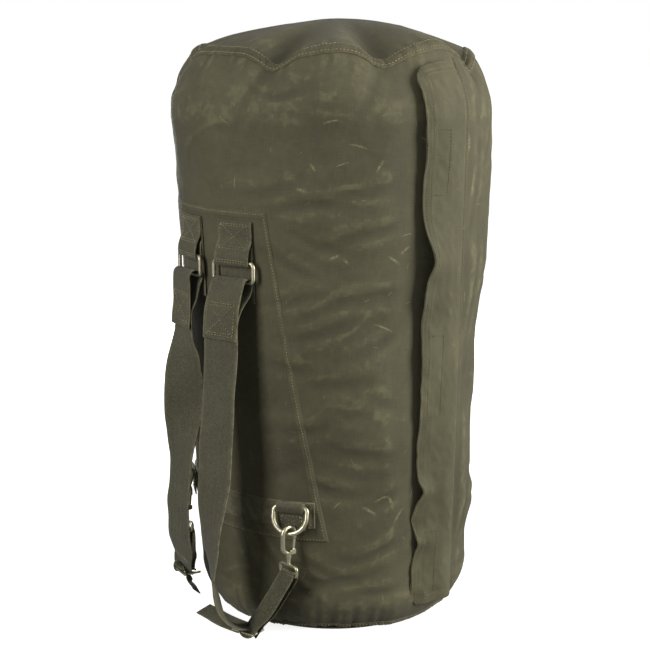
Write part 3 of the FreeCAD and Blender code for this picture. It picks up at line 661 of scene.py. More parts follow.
def canvas(name, dark, light, worn, scuffs, places=()):
    """Waxed cotton canvas: a plain weave with slubs, clouded colour, pale creases and scuffs, and painted shade
    that darkens the valleys of its folds.
    """
    s = Shader(name)
    cloth, place, wear_and_shade = s.attribute("cloth"), s.place(), s.attribute("wear_and_shade", "Fac")
    clouds = s.noise(place, 7.5, 5, 0.6, 0.4)
    patches = s.noise(place, 38, 4, 0.65, 0.8)
    slubs = [s.noise(s.stretch(cloth, x, y), 1, 2) for x, y in ((60, 1500), (1500, 60))]
    slubs = s.calc("ADD", *slubs)
    # The ridge and valley value lightens ridges as wear and darkens valleys as painted shade.
    tone = s.calc("ADD", s.total((clouds, 0.75), (patches, 0.2), (slubs, 0.3), (wear_and_shade, 0.16)), -0.38)
    color = s.mix(s.remap(tone, 0.2, 0.8), dark, light)
    rubbed = s.product(s.remap(wear_and_shade, 0.75, 1.0), s.remap(s.noise(place, 55, 5, 0.7), 0.42, 0.66))
    color = s.mix(s.product(rubbed, 0.16), color, worn)
    smudge = s.remap(s.noise(s.stretch(place, 1, 1, 0.6), 16, 6, 0.72, 1.2), 0.64, 0.82)
    color = s.mix(s.product(smudge, 0.07), color, worn)
    marks = strokes(s, cloth, 74 * MM, 9 * MM, 1.0 * MM, 0.3)
    small = strokes(s, s.stretch(cloth, 1, 1, 1, 0.7), 42 * MM, 4.5 * MM, 0.7 * MM, 0.35)
    broken = s.remap(s.noise(cloth, 420, 3, 0.6), 0.36, 0.58)
    for scuff_facts in places:
        marks = s.calc("MAXIMUM", marks, scuff(s, cloth, *scuff_facts))
    marks = s.product(s.calc("MAXIMUM", marks, s.product(small, 0.7)), broken)
    color = s.mix(s.product(marks, scuffs), color, worn)
    x, y, _ = s.axes(cloth)
    warp, weft = (s.calc("SINE", s.product(v, TAU / WEAVE)) for v in (x, y))
    threads = s.calc("MULTIPLY_ADD", s.product(warp, weft), 0.5, 0.5)
    color = s.mix(s.product(threads, 0.22), color, s.mix(0.5, color, light))
    normal = s.bump(threads, 0.14 * MM, 0.7)
    normal = s.bump(s.noise(place, 260, 4, 0.6), 0.35 * MM, 0.4, normal)
    normal = s.bump(s.noise(s.stretch(place, 1, 1, 1.6), 60, 4, 0.5, 0.6), 1.2 * MM, 0.3, normal)
    rough = s.calc("ADD", s.total((patches, 0.22), (marks, 0.12)), 0.56)
    return s.finish(color, rough, normal, Specular_IOR_Level=0.22, Sheen_Weight=0.08, Sheen_Roughness=0.5)


def webbing(name, dark, light, worn, pitch, herringbone=False):
    """Cotton webbing: crosswise picks, fine lengthwise ribs, and fuzz worn pale at the edges."""
    s = Shader(name)
    cloth, place, wear_and_shade = s.attribute("cloth"), s.place(), s.attribute("wear_and_shade", "Fac")
    across, along, _ = s.axes(cloth)
    if herringbone:
        along = s.calc("ADD", along, s.calc("PINGPONG", across, 4.2 * MM))
    picks, cords = s.sine(along, pitch), s.sine(across, 1.6 * MM)
    height = s.product(picks, s.calc("MULTIPLY_ADD", cords, 0.5, 0.5))
    clouds = s.noise(place, 22, 4, 0.6)
    fuzz = s.noise(place, 900, 3, 0.7)
    grit = s.noise(place, 420, 2, 0.6)
    tone = s.calc("ADD", s.total((clouds, 0.6), (height, 0.5), (fuzz, 0.6), (grit, 1.1)), -0.85)
    color = s.mix(s.remap(tone, 0.1, 1.0), dark, light)
    # Paler where the value is high: worn edges and ridges. Valleys stay darker, as painted shade.
    rub = s.product(wear_and_shade, s.remap(s.noise(place, 120, 4), 0.3, 0.6))
    color = s.mix(s.product(rub, 0.5), color, worn)
    normal = s.bump(fuzz, 0.25 * MM, 0.5, s.bump(height, 0.4 * MM, 0.9))
    rough = s.calc("MULTIPLY_ADD", clouds, 0.16, 0.72)
    return s.finish(color, rough, normal, Specular_IOR_Level=0.28, Sheen_Weight=0.15, Sheen_Roughness=0.45)


def metal(name, bright, dull, rough_low, rough_high, grain):
    """Plated metal, cast or drawn: dull film in patches, fine pits and hairline scratches."""
    s = Shader(name)
    place = s.place()
    film = s.remap(s.noise(place, 110, 4, 0.6, 0.4), 0.34, 0.74)
    pits = s.noise(place, 1300, 4, 0.6)
    hair = s.noise(s.stretch(place, 300, 300, 5200, 0.4), 1, 2, 0.6)
    color = s.mix(film, bright, dull)
    rough = s.calc("ADD", s.remap(film, 0, 1, rough_low, rough_high), s.calc("MULTIPLY_ADD", hair, 0.16, -0.08))
    normal = s.bump(s.calc("MULTIPLY_ADD", hair, 0.4, pits), grain * MM, 0.6)
    normal = s.bump(s.noise(place, 190, 2), 0.3 * MM, 0.2, normal)
    return s.finish(color, rough, normal, Metallic=1.0)


def thread(name, color):
    """Twisted sewing thread."""
    s = Shader(name)
    tone = s.noise(s.place(), 60, 3)
    twist = s.node("ShaderNodeTexWave", {"Vector": s.place(), "Scale": 700.0, "Distortion": 2.0},
                   bands_direction="DIAGONAL").outputs["Fac"]
    deep = tuple(c * 0.55 for c in color[:3]) + (1.0,)
    return s.finish(s.mix(s.remap(tone, 0.3, 0.7), deep, color), s.calc("MULTIPLY_ADD", tone, 0.1, 0.7),
                    s.bump(twist, 0.12 * MM, 0.7), Specular_IOR_Level=0.3)


def fuzzy(name, dark, light, size):
    """Hook or loop tape: a dense pile of little tufts."""
    s = Shader(name)
    place = s.place()
    tufts = s.node("ShaderNodeTexVoronoi", {"Vector": place, "Scale": 1 / size}).outputs["Distance"]
    tone = s.total((s.noise(place, 90, 3), 0.6), (tufts, 0.6))
    return s.finish(s.mix(s.remap(tone, 0.2, 0.8), dark, light), s.remap(tone, 0, 1, 0.75, 0.95),
                    s.bump(tufts, 0.6 * MM, 0.8), Sheen_Weight=0.2, Specular_IOR_Level=0.25)


def tape_cloth(name, dark, light):
    """Zipper tape: a tight herringbone."""
    s = Shader(name)
    place = s.place()
    _, across, along = s.axes(place)
    height = s.sine(s.calc("ADD", along, s.calc("PINGPONG", across, 1.5 * MM)), 1.0 * MM)
    tone = s.total((height, 0.5), (s.noise(place, 120, 3), 0.6))
    return s.finish(s.mix(s.remap(tone, 0.2, 0.9), dark, light), s.remap(tone, 0, 1, 0.7, 0.86),
                    s.bump(height, 0.2 * MM, 0.8), Specular_IOR_Level=0.3)


OLIVE_DARK, OLIVE, OLIVE_PALE = rgb(72, 69, 53), rgb(98, 95, 73), rgb(168, 162, 120)
WEB_DARK, WEB_LIGHT, WEB_PALE = rgb(72, 70, 55), rgb(104, 101, 81), rgb(146, 142, 112)
CANVAS = canvas("canvas", OLIVE_DARK, OLIVE, OLIVE_PALE, 0.55, SCUFFS)
FLAP_CANVAS = canvas("flap_canvas", rgb(76, 73, 55), rgb(101, 98, 75), OLIVE_PALE, 0.4)
SEAM_CANVAS = canvas("seam_canvas", rgb(70, 67, 51), rgb(102, 98, 75), OLIVE_PALE, 0.3)
WEBBING = webbing("wide_webbing", WEB_DARK, WEB_LIGHT, WEB_PALE, 2.0 * MM, True)
NARROW_WEB = webbing("narrow_webbing", rgb(58, 57, 44), rgb(106, 103, 80), WEB_PALE, 2.2 * MM)
THREAD = thread("thread", rgb(172, 167, 126))
DARK_THREAD = thread("dark_thread", rgb(122, 118, 90))
NICKEL = metal("nickel_wire", rgb(212, 208, 184), rgb(168, 162, 132), 0.30, 0.46, 0.08)
CAST = metal("cast_hardware", rgb(202, 198, 172), rgb(154, 148, 118), 0.34, 0.52, 0.16)
BRASS = metal("zipper_brass", rgb(196, 164, 96), rgb(128, 104, 62), 0.26, 0.5, 0.1)
PILE = fuzzy("hook_and_loop", rgb(38, 38, 28), rgb(82, 80, 58), 1.1 * MM)
TAPE_CLOTH = tape_cloth("zipper_tape", rgb(48, 47, 34), rgb(84, 81, 60))


# Bag body ------------------------------------------------------------------------------------

COLUMNS = 352


def sewn_on(piece, body, slot, *nodes):
    """Tells the frame what a piece rides on, and hides the CAD nodes it stands for. slot is not used."""
    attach(piece, body)
    if nodes:
        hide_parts(*nodes)
    return piece


def cloth_of(azimuth, run):
    """Where points are on the unrolled cloth."""
    azimuth, run = np.broadcast_arrays(azimuth, run)
    return np.stack([np.radians(azimuth) * MEAN_R, run, np.zeros(run.shape)], -1)


def tube_mesh(name, outer, inner, material, cloth, wear_and_shade):
    """A closed ring of cloth between two grids that wrap round."""
    rows, columns = outer.shape[:2]
    count = rows * columns
    faces = grid_faces(rows, columns, wrap=True)
    faces += grid_faces(rows, columns, wrap=True, start=count, flip=True)
    for row, flip in ((0, True), (rows - 1, False)):
        for j in range(columns):
            a, b = row * columns + j, row * columns + (j + 1) % columns
            face = [a, b, b + count, a + count]
            faces.append(face[::-1] if flip else face)
    points = np.vstack([outer.reshape(-1, 3), inner.reshape(-1, 3)])
    cloths = np.tile(cloth.reshape(-1, 3), (2, 1))
    return new_mesh(name, points, faces, material, cloths, np.tile(wear_and_shade.ravel(), 2), 60)


def make_wall():
    """The wall's canvas, with a slot turned in along the zipper. Its ends are folded in and closed."""
    half = math.degrees(SLOT_HALF / MEAN_R)
    # Columns of points round the bag from the slot's one edge to the other, then across its floor
    lip = 0.18
    floor = np.concatenate([[lip - half, 2 * lip - half], np.linspace(3 * lip - half, half - 3 * lip, 4),
                            [half - 2 * lip, half - lip]])
    turns = np.concatenate([np.linspace(half, 360 - half, COLUMNS), 360 + floor])
    deep = np.concatenate([np.zeros(COLUMNS), [0.35, 1], np.ones(4), [1, 0.35]])
    runs = np.concatenate([np.linspace(RIM_RUN - 0.012, RIM_RUN + 0.05, 26, endpoint=False),
                           np.linspace(RIM_RUN + 0.05, SEAM_RUN - 0.05, 176, endpoint=False),
                           np.linspace(SEAM_RUN - 0.05, SEAM_RUN + 0.004, 24)])
    z = np.interp(runs, RUN, RUN_Z)[:, None]
    follow = 1 - smooth_step(np.minimum(turns, 360 - turns).clip(0)[None] / 60)
    middle = (ZIP_LOW[0] + ZIP_HIGH[0]) / 2
    lean = zip_azimuth(np.clip(z, ZIP_LOW[1], ZIP_HIGH[1])) - middle
    azimuth = middle + turns[None] + lean * follow
    open_ = smooth_step((z - ZIP_LOW[1] + 0.012) / 0.01) * smooth_step((ZIP_HIGH[1] + 0.012 - z) / 0.01)
    lift = -SLOT_DEEP * deep[None] * open_
    points, normals = skin_run(azimuth, np.broadcast_to(runs[:, None], azimuth.shape), lift)
    wear_and_shade = wear_and_shade_of(points, normals)
    wear_and_shade[:, -len(floor) - 1:] = 0.4
    low = points[0] * (0.4, 0.4, 1) + (0, 0, 3 * MM)
    high = points[-1] * (0.4, 0.4, 1) - (0, 0, 3 * MM)
    grid = np.concatenate([low[None], points, high[None]])
    rows, columns = grid.shape[:2]
    faces = grid_faces(rows, columns, wrap=True)
    faces += [list(range(columns))[::-1], list(range((rows - 1) * columns, rows * columns))]
    runs = np.concatenate([[runs[0]], runs, [runs[-1]]])
    cloth = cloth_of(azimuth[[0, *range(len(azimuth)), -1]], runs[:, None])
    worn = np.concatenate([wear_and_shade[:1], wear_and_shade, wear_and_shade[-1:]])
    cloth = cloth.reshape(-1, 3)
    piece = new_mesh("wall_canvas", grid.reshape(-1, 3), faces, CANVAS, cloth, worn.ravel(), 60)
    sewn_on(piece, "bag", "canvas", "body_wall")


def make_crown():
    """The domed crown's canvas, from just below its seam to the middle."""
    turns = np.linspace(0, 360, COLUMNS, endpoint=False)
    runs = SEAM_RUN - 0.003 + (TOP_RUN - 0.0008 - SEAM_RUN + 0.003) * np.linspace(0, 1, 70) ** 1.1
    azimuth, run = np.meshgrid(turns, runs)
    outer, normals = skin_run(azimuth, run, 0.3 * MM)
    inner = outer - normals * 2.0 * MM
    wear_and_shade = wear_and_shade_of(outer, normals)
    wear_and_shade[-8:] = 0.5
    piece = tube_mesh("crown_canvas", outer, inner, CANVAS, outer, wear_and_shade)
    sewn_on(piece, "bag", "canvas", "crown_panel")


def make_base():
    """The flat base's canvas, a little uneven on the floor."""
    turns = np.linspace(0, 360, 160, endpoint=False)
    radii = np.linspace(0.001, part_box("base_panel")[1].x, 40)
    azimuth, r = np.meshgrid(turns, radii[::-1])
    low = at(azimuth, r, 0)
    low[..., 2] = 0.1 * MM + 0.25 * MM * (1 + waves(low, 0.03, 31)) * smooth_step((radii[-1] - r) / 0.02)
    high = low + (0, 0, 2 * MM)
    piece = tube_mesh("base_canvas", low, high, CANVAS, low, np.full(r.shape, 0.4))
    piece.data.flip_normals()
    sewn_on(piece, "bag", "canvas", "base_panel")


# Where a seam is tucked beside the middle of each dip, as shares of the dip's half width
TUCKS = np.array([-1.1, -0.8, -0.5, -0.2, 0.15, 0.5, 0.9])


def seam_band(name, node, runs, stitch_at, seed):
    """A felled seam round the bag: a narrow raised band gathered by its two rows of stitches."""
    turns = np.linspace(0, 360, 2 * COLUMNS, endpoint=False)
    azimuth, run = np.meshgrid(turns, np.linspace(*runs, 13))
    share = (run - runs[0]) / (runs[1] - runs[0])
    turn = np.radians(azimuth)
    pleat = sum(np.sin(turn * k + seed * p) for k, p in ((97, 1), (131, 2), (173, 3), (61, 5))) / 4
    crown = np.sin(math.pi * share) ** 0.3
    dents = sum(bell(share - d, 0.07) for d in stitch_at)
    draw = np.random.default_rng(seed + 50)
    tucks = np.zeros(azimuth.shape)
    for centre, _, width in SEAM_DIPS:
        for place in centre + width * TUCKS + draw.normal(0, 0.5, len(TUCKS)):
            off = turned_from(azimuth + 1.8 * (share - 0.5), place)
            tucks = tucks + draw.uniform(0.4, 1.0) * bell(off, 0.55)
    tucks = np.clip(tucks, 0, 1) * smooth_step((share - 0.12) / 0.2) * smooth_step((0.88 - share) / 0.2)
    lift = (0.9 + 1.5 * crown - 0.6 * dents + 0.45 * pleat * crown - 1.6 * tucks) * MM
    outer = skin_run(azimuth, run, lift)[0]
    inner = skin_run(azimuth, run, -0.9 * MM)[0]
    # Pale on pleat crests and at the band's edges as wear, and darker in the tucks as painted shade.
    wear_and_shade = np.clip(0.45 + 0.3 * pleat + 0.35 * (np.abs(share - 0.5) > 0.4) - 0.6 * tucks, 0, 1)
    piece = tube_mesh(name, outer, inner, SEAM_CANVAS, cloth_of(azimuth, run), wear_and_shade)
    sewn_on(piece, "bag", "seam_canvas", node)
    line = np.linspace(0, 360, 900)
    rows = [skin_run(line, runs[0] + d * (runs[1] - runs[0]), 1.95 * MM) for d in stitch_at]
    thread_piece = stitches(name + "_stitches", rows, THREAD, 4.4 * MM, 3.0 * MM, 0.52 * MM, seed)
    sewn_on(thread_piece, "bag", "seam_canvas")


PATCH_ROW = 3.2 * MM      # the stitches' distance from a patch's edge


def patch(name, node, azimuth, z, lift, material, slot, hem):
    """A piece of canvas sewn flat on the wall, with its edges turned under."""
    outer, normals = skin(azimuth, z)
    rows, columns = z.shape
    tall = np.linalg.norm(np.diff(outer[:, columns // 2], axis=0), axis=1).sum()
    wide = np.linalg.norm(np.diff(outer[rows // 2], axis=0), axis=1).sum()
    v, u = np.linspace(0, 1, rows)[:, None] * tall, np.linspace(0, 1, columns)[None] * wide
    edge = np.minimum(np.minimum(v, tall - v), np.minimum(u, wide - u))
    stitched = bell(edge - PATCH_ROW, 0.9 * MM)
    turned_under = smooth_step((hem + 2 * MM - edge) / (2.5 * MM))
    body = smooth_step(edge / (1.2 * MM)) * lift + 0.5 * MM * turned_under
    body = body + 0.06 * MM * waves(outer, 0.011, 41) * smooth_step(edge / 0.01)
    outer = outer + normals * (body - 0.45 * MM * stitched)[..., None]
    inner = outer - normals * (lift + 0.9 * MM)
    wear_and_shade = np.clip(wear_and_shade_of(outer, normals) + 0.4 * bell(edge, 1.5 * MM), 0, 1)
    piece = slab_mesh(name, outer, inner, material, cloth_of(azimuth, z), wear_and_shade, 60)
    return sewn_on(piece, "bag", slot, node)


def make_back_panel():
    """The reinforcing panel under the straps, wider at the bottom, and its stitches."""
    heights = np.linspace(*PATCH_HEIGHTS, 200)[:, None]
    across = np.linspace(-1, 1, 110)[None] * np.interp(heights, PATCH_HEIGHTS, PATCH_HALVES)
    z = np.broadcast_to(heights, across.shape)
    azimuth = np.degrees(np.arcsin(across / wall_r(z)))
    patch("reinforcing_panel", "back_panel", azimuth, z, 0.9 * MM, CANVAS, "canvas", 6 * MM)
    low, high = PATCH_HEIGHTS[0] + PATCH_ROW, PATCH_HEIGHTS[1] - PATCH_ROW
    steps = np.linspace(low, high, 30)
    side = np.degrees(np.arcsin((np.interp(steps, PATCH_HEIGHTS, PATCH_HALVES) - PATCH_ROW) / wall_r(steps)))
    lines = [(side, steps), (-side, steps), ([-side[-1], side[-1]], [high, high]),
             ([-side[0], side[0]], [low, low])]
    rows = [sewn(azimuths, levels, 1.15 * MM) for azimuths, levels in lines]
    sewn_on(stitches("panel_stitches", rows, THREAD, seed=5), "bag", "canvas")


def make_ring_band():
    """The webbing band across the panel that the D-rings' tabs are sewn to."""
    low, high = (corner.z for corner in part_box("d_ring_band"))
    heights = np.linspace(low, high, 26)[:, None]
    turns = np.linspace(-BAND_AZ, BAND_AZ, 150)[None]
    azimuth, z = np.broadcast_arrays(turns, heights)
    patch("d_ring_webbing_band", "d_ring_band", azimuth, z, 2.9 * MM, WEBBING, "wide_webbing", 0.0)
    rows = [sewn([-40.4, 40.4], [h, h], 3.1 * MM) for h in (low + 3 * MM, high - 3 * MM)]
    rows += [sewn([a, a], [low + 3 * MM, high - 3 * MM], 3.1 * MM) for a in (-40.2, 40.2, -38.9, 38.9)]
    sewn_on(stitches("band_stitches", rows, DARK_THREAD, seed=6), "bag", "wide_webbing")


# Storm flap ----------------------------------------------------------------------------------

def zip_frame():
    """The zipper line's foot, and its directions along, sideways (to the hinge) and outward."""
    ends = [at(a, float(wall_r(z)), z) for a, z in (ZIP_LOW, ZIP_HIGH)]
    along = unit(ends[1] - ends[0])
    radial = at((ZIP_LOW[0] + ZIP_HIGH[0]) / 2, 1, 0)
    outward = unit(radial - along * (radial @ along))
    return ends[0], along, np.cross(along, outward), outward


FOOT, ALONG, SIDEWAYS, OUTWARD = zip_frame()
ZIP_LONG = ZIP_HIGH[1] - ZIP_LOW[1]
SECTION = spline([(t * MM, n * MM, 0) for t, n in FLAP_SECTION], 0.5 * MM)[:, :2]
FLAP_WIDE = float(np.linalg.norm(np.diff(SECTION, axis=0), axis=1).sum())
FLAP_LONG = ZIP_LONG + SHOULDER * math.radians(FLAP_ARC) + 0.007 - FLAP_LOW

# The free edge's waves: height along the flap, width, how far it draws back and how far it lifts, mm
EDGE_WAVES = [(420, 30, 6, 15), (372, 18, -1, 5), (492, 34, -2, -1), (250, 60, 1, 1),
              (128, 13, 5, 8), (60, 12, 3, 6), (88, 12, -2, -2), (300, 26, -1, 3),
              (190, 26, 0, -1.5), (545, 24, 1, 1), (15, 20, -2, 0)]
FLAP_CORNER = 15 * MM
HEM_ROWS = (3 * MM, 9.5 * MM)          # the hem's stitches, from the edge
TAPE_SPAN, TAPE_BOX = (0.60, 0.86), (0.58, 0.88)     # the tapes and their stitches, across the flap


def flap_at(s, w, lift=0.0):
    """Points on the flap's outer face at s up it and w across it, from 0 at the hinge to 1."""
    s, w = np.broadcast_arrays(np.asarray(s, float), np.asarray(w, float))
    share = np.linspace(0, 1, len(SECTION))
    t, n = np.interp(w, share, SECTION[:, 0]), np.interp(w, share, SECTION[:, 1])
    draw, rise = np.zeros(s.shape), np.zeros(s.shape)
    for centre, width, back, up in EDGE_WAVES:
        near = bell(s - centre * MM, width * MM)
        draw, rise = draw + back * near, rise + up * near
    rough = np.stack([s, w * FLAP_WIDE, np.zeros(s.shape)], -1)
    t = t + (draw * w**2 + 0.8 * waves(rough, 0.03, 51) * w**2) * MM
    n = n + rise * w**2.6 * MM + lift
    n = n + (1.5 * waves(rough, 0.09, 52, (2.2, 1, 1)) + 0.9 * waves(rough, 0.035, 53, (2.6, 1, 1))
             + 0.25 * waves(rough, 0.012, 54, (1.6, 1, 1))) * smooth_step(w * 5) * MM
    over = np.clip(s - ZIP_LONG, 0, None)
    radius = SHOULDER + n
    angle = over / SHOULDER
    straight = np.minimum(s, ZIP_LONG)
    shoulder_in = (1 - np.cos(angle)) * radius
    base = FOOT + ALONG * straight[..., None] + SIDEWAYS * t[..., None]
    drop = smooth_step(-s / 0.03) * 5 * MM * w
    outward, onward = n - shoulder_in - drop, np.sin(angle) * radius
    return base + OUTWARD * outward[..., None] + ALONG * onward[..., None]


def facing_out(normals):
    return normals * np.sign((normals * OUTWARD).sum(-1, keepdims=True))


def flap_cloth(s, w):
    return np.stack([w * FLAP_WIDE, s, np.zeros(s.shape)], -1)


def flap_grid(low, high, rows, columns, span=(0.0, 1.0), corner=0.0):
    """A grid on the flap, whose corners at the free edge may be rounded."""
    w = np.linspace(*span, columns)[None]
    past = np.clip(corner - (1 - w) * FLAP_WIDE, 0, corner)
    cut = corner - np.sqrt(np.maximum(corner**2 - past**2, 0))
    share = np.linspace(0, 1, rows)[:, None]
    s = (low + cut) + (high - low - 2 * cut) * share
    return s, np.broadcast_to(w, s.shape)


def flap_blend(piece):
    """Bakes the piece's transform into its mesh."""
    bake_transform(piece)


def hem_line(off, high):
    """A row of the hem's stitches as (s, w): along the bottom, round both corners and along the top."""
    w_in = 1 - off / FLAP_WIDE
    corner = max(FLAP_CORNER - off, 2 * MM)
    w_turn = w_in - corner / FLAP_WIDE
    turn = np.linspace(0, math.pi / 2, 8)
    bend = [(off + corner * (1 - math.cos(a)), w_in - corner / FLAP_WIDE * (1 - math.sin(a))) for a in turn]
    line = [(FLAP_LOW + off, w) for w in np.linspace(0.03, w_turn, 24)]
    line += [(FLAP_LOW + s, w) for s, w in bend]
    line += [(s, w_in) for s in np.linspace(FLAP_LOW + off + corner, high - off - corner, 320)]
    line += [(high - s, w) for s, w in bend[::-1]]
    return line + [(high - off, w) for w in np.linspace(w_turn, 0.03, 24)]


def make_flap():
    """The storm flap's cloth, hemmed on three sides, with the stitches of its hem and its tapes."""
    high = FLAP_LOW + FLAP_LONG
    s, w = flap_grid(FLAP_LOW, high, 350, 44, corner=FLAP_CORNER)
    face = flap_at(s, w)
    normals = -normals_of(face)
    if (normals * OUTWARD).sum(-1).mean() < 0:
        normals = -normals
    inset = np.minimum((1 - w) * FLAP_WIDE, np.minimum(s - FLAP_LOW, high - s))
    hem = smooth_step((13 * MM - inset) / (1.6 * MM))
    rows = sum(bell(inset - off, 0.9 * MM) for off in HEM_ROWS)
    outer = face + normals * (0.55 * MM * hem - 0.35 * MM * rows)[..., None]
    inner = face - normals * (1.35 * MM + 0.5 * MM * hem)[..., None]
    wear_and_shade = np.clip(wear_and_shade_of(outer, normals) + 0.5 * bell(inset, 1.6 * MM), 0, 1)
    piece = slab_mesh("storm_flap_cloth", outer, inner, FLAP_CANVAS, flap_cloth(s, w), wear_and_shade, 60)
    if piece.data.polygons[0].normal @ Vector(OUTWARD) < 0:
        piece.data.flip_normals()
    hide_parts("storm_flap")
    flap_blend(piece)
    edge_rows = [on_flap(hem_line(off, high)) for off in HEM_ROWS]
    edge = stitches("flap_edge_stitches", edge_rows, DARK_THREAD, seed=8)
    flap_blend(edge)
    w0, w1 = TAPE_BOX
    box_rows = []
    for low, top in np.array(STRIPS) * MM:
        corners = [(low, w0), (top, w0), (top, w1), (low, w1), (low, w0)]
        box_rows.append(on_flap(trace(corners, 60)))
    boxes = stitches("flap_strip_stitches", box_rows, DARK_THREAD, seed=9)
    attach(boxes, "flap")


def trace(corners, count):
    corners = np.asarray(corners, float)
    return np.vstack([np.linspace(a, b, count) for a, b in zip(corners, corners[1:])])


def on_flap(line):
    """A stitch line on the flap's outer face."""
    line = np.asarray(line, float)
    s, w = line[:, 0], np.clip(line[:, 1], 0.005, 0.995)
    point = flap_at(s, w)
    up = flap_at(s + 1e-4, w) - point
    over = flap_at(s, w + 1e-3) - point
    normal = facing_out(unit(np.cross(over, up)))
    return point + normal * 0.4 * MM, normal


def make_strips():
    """Hook tape on the flap's inner face and loop tape on the wall."""
    hooks, loops = [], []
    for index, (low, top) in enumerate(STRIPS, 1):
        s, w = flap_grid(low * MM, top * MM, 50, 12, TAPE_SPAN)
        face = flap_at(s, w)
        normals = facing_out(normals_of(face))
        cloth = flap_cloth(s, w)
        outer, inner = face - normals * 1.5 * MM, face - normals * 2.9 * MM
        hooks.append(slab_mesh(f"hook_tape_{index}", outer, inner, PILE, cloth))
        z = ZIP_LOW[1] + s
        past_zip = (w - 0.73) * FLAP_WIDE + 32 * MM
        face, normals = skin(zip_azimuth(z) - np.degrees(past_zip / MEAN_R), z)
        outer, inner = face + normals * 1.0 * MM, face - normals * 0.8 * MM
        loops.append(slab_mesh(f"loop_tape_{index}", outer, inner, PILE, cloth))
    for piece in hooks:
        sewn_on(piece, "flap", "hook_and_loop", "flap_hook_strips")
    for piece in loops:
        sewn_on(piece, "bag", "hook_and_loop", "wall_loop_strips")


def make_hinge_seam():
    """The folded seam that the flap is sewn in, with its line of stitches."""
    s = np.linspace(FLAP_LOW + 4 * MM, FLAP_LOW + FLAP_LONG - 3 * MM, 300)
    over = np.clip(s - ZIP_LONG, 0, None)
    z = ZIP_LOW[1] + np.minimum(s, ZIP_LONG) + SHOULDER * np.sin(over / SHOULDER)
    middle = zip_azimuth(np.clip(z, 0.03, 0.7)) + math.degrees(21.5 * MM / MEAN_R)
    across = np.linspace(-4.5, 4.5, 9)[None] * MM
    azimuth = middle[:, None] + np.degrees(across / MEAN_R)
    height = np.broadcast_to(z[:, None], azimuth.shape)
    lift = (1.6 * np.cos(across / (4.6 * MM) * math.pi / 2) ** 0.6 + 0.2) * MM
    outer = skin(azimuth, height, lift)[0]
    inner = skin(azimuth, height, -1.0 * MM)[0]
    cloth = cloth_of(azimuth, height)
    wear_and_shade = np.broadcast_to(0.55 + 0.25 * (np.abs(across) < 2 * MM), azimuth.shape)
    piece = slab_mesh("hinge_seam", outer, inner, FLAP_CANVAS, cloth, wear_and_shade, 60)
    sewn_on(piece, "bag", "seam_canvas", "flap_seam_binding")
    row = skin(middle, z, 1.9 * MM)
    sewn_on(stitches("hinge_stitches", [row], DARK_THREAD, seed=10), "bag", "seam_canvas")


# Webbing and hardware ------------------------------------------------------------------------

def radial(azimuth, points):
    """Points given as (r, z) in mm, in the upright plane at an azimuth."""
    r, z = np.array(points, float).T * MM
    return at(azimuth, r, z)


def arc(r, z, radius, start, end, count=7):
    """(r, z) points of an arc in mm, angles in degrees from the outward direction."""
    turn = np.radians(np.linspace(start, end, count))
    return [(r + radius * math.cos(a), z + radius * math.sin(a)) for a in turn]


def across_at(azimuth, count):
    return np.tile(at(azimuth, 1, 0), (count, 1))


def box_cross(strip, run0, run1, half, lift=0.35 * MM, face=1):
    """A box of stitches with a cross in it."""
    corners = [(run0, -half), (run0, half), (run1, half), (run1, -half), (run0, -half)]
    sides = list(zip(corners, corners[1:])) + [(corners[0], corners[2]), (corners[1], corners[3])]
    return [strip.at(*np.linspace(a, b, 14).T, lift, face) for a, b in sides]


def line_across(strip, run, half, lift=0.35 * MM, face=1):
    return strip.at(np.full(14, run), np.linspace(-half, half, 14), lift, face)


def wall_mm(z):
    return float(wall_r(z * MM)) / MM


TAB_WALL_R, TAB_EASE = 0.197, 0.012      # the wall's radius at the tabs, and how gently a tab meets it
TAB_SEWN, TAB_TOP = 0.487, 0.53          # heights between which a tab's front layer lies on the wall


def hug(piece, strip, low, high):
    """Bends the sewn stretch of a strip's piece to the wall's curve."""
    mesh = piece.data
    co = np.empty(len(mesh.vertices) * 3)
    mesh.vertices.foreach_get("co", co)
    co = co.reshape(-1, 3)
    middle = strip.centre[len(strip.centre) // 2]
    side = strip.side[len(strip.side) // 2]
    x = (co - middle) @ side
    share = smooth_step((co[:, 2] - low) / TAB_EASE) * smooth_step((high - co[:, 2]) / TAB_EASE + 1)
    outward = np.cross(side, (0, 0, 1))
    outward = outward * np.sign(outward @ (middle * (1, 1, 0)))
    co -= outward * (share * x**2 / (2 * TAB_WALL_R))[:, None]
    mesh.vertices.foreach_set("co", co.ravel())
    mesh.update()


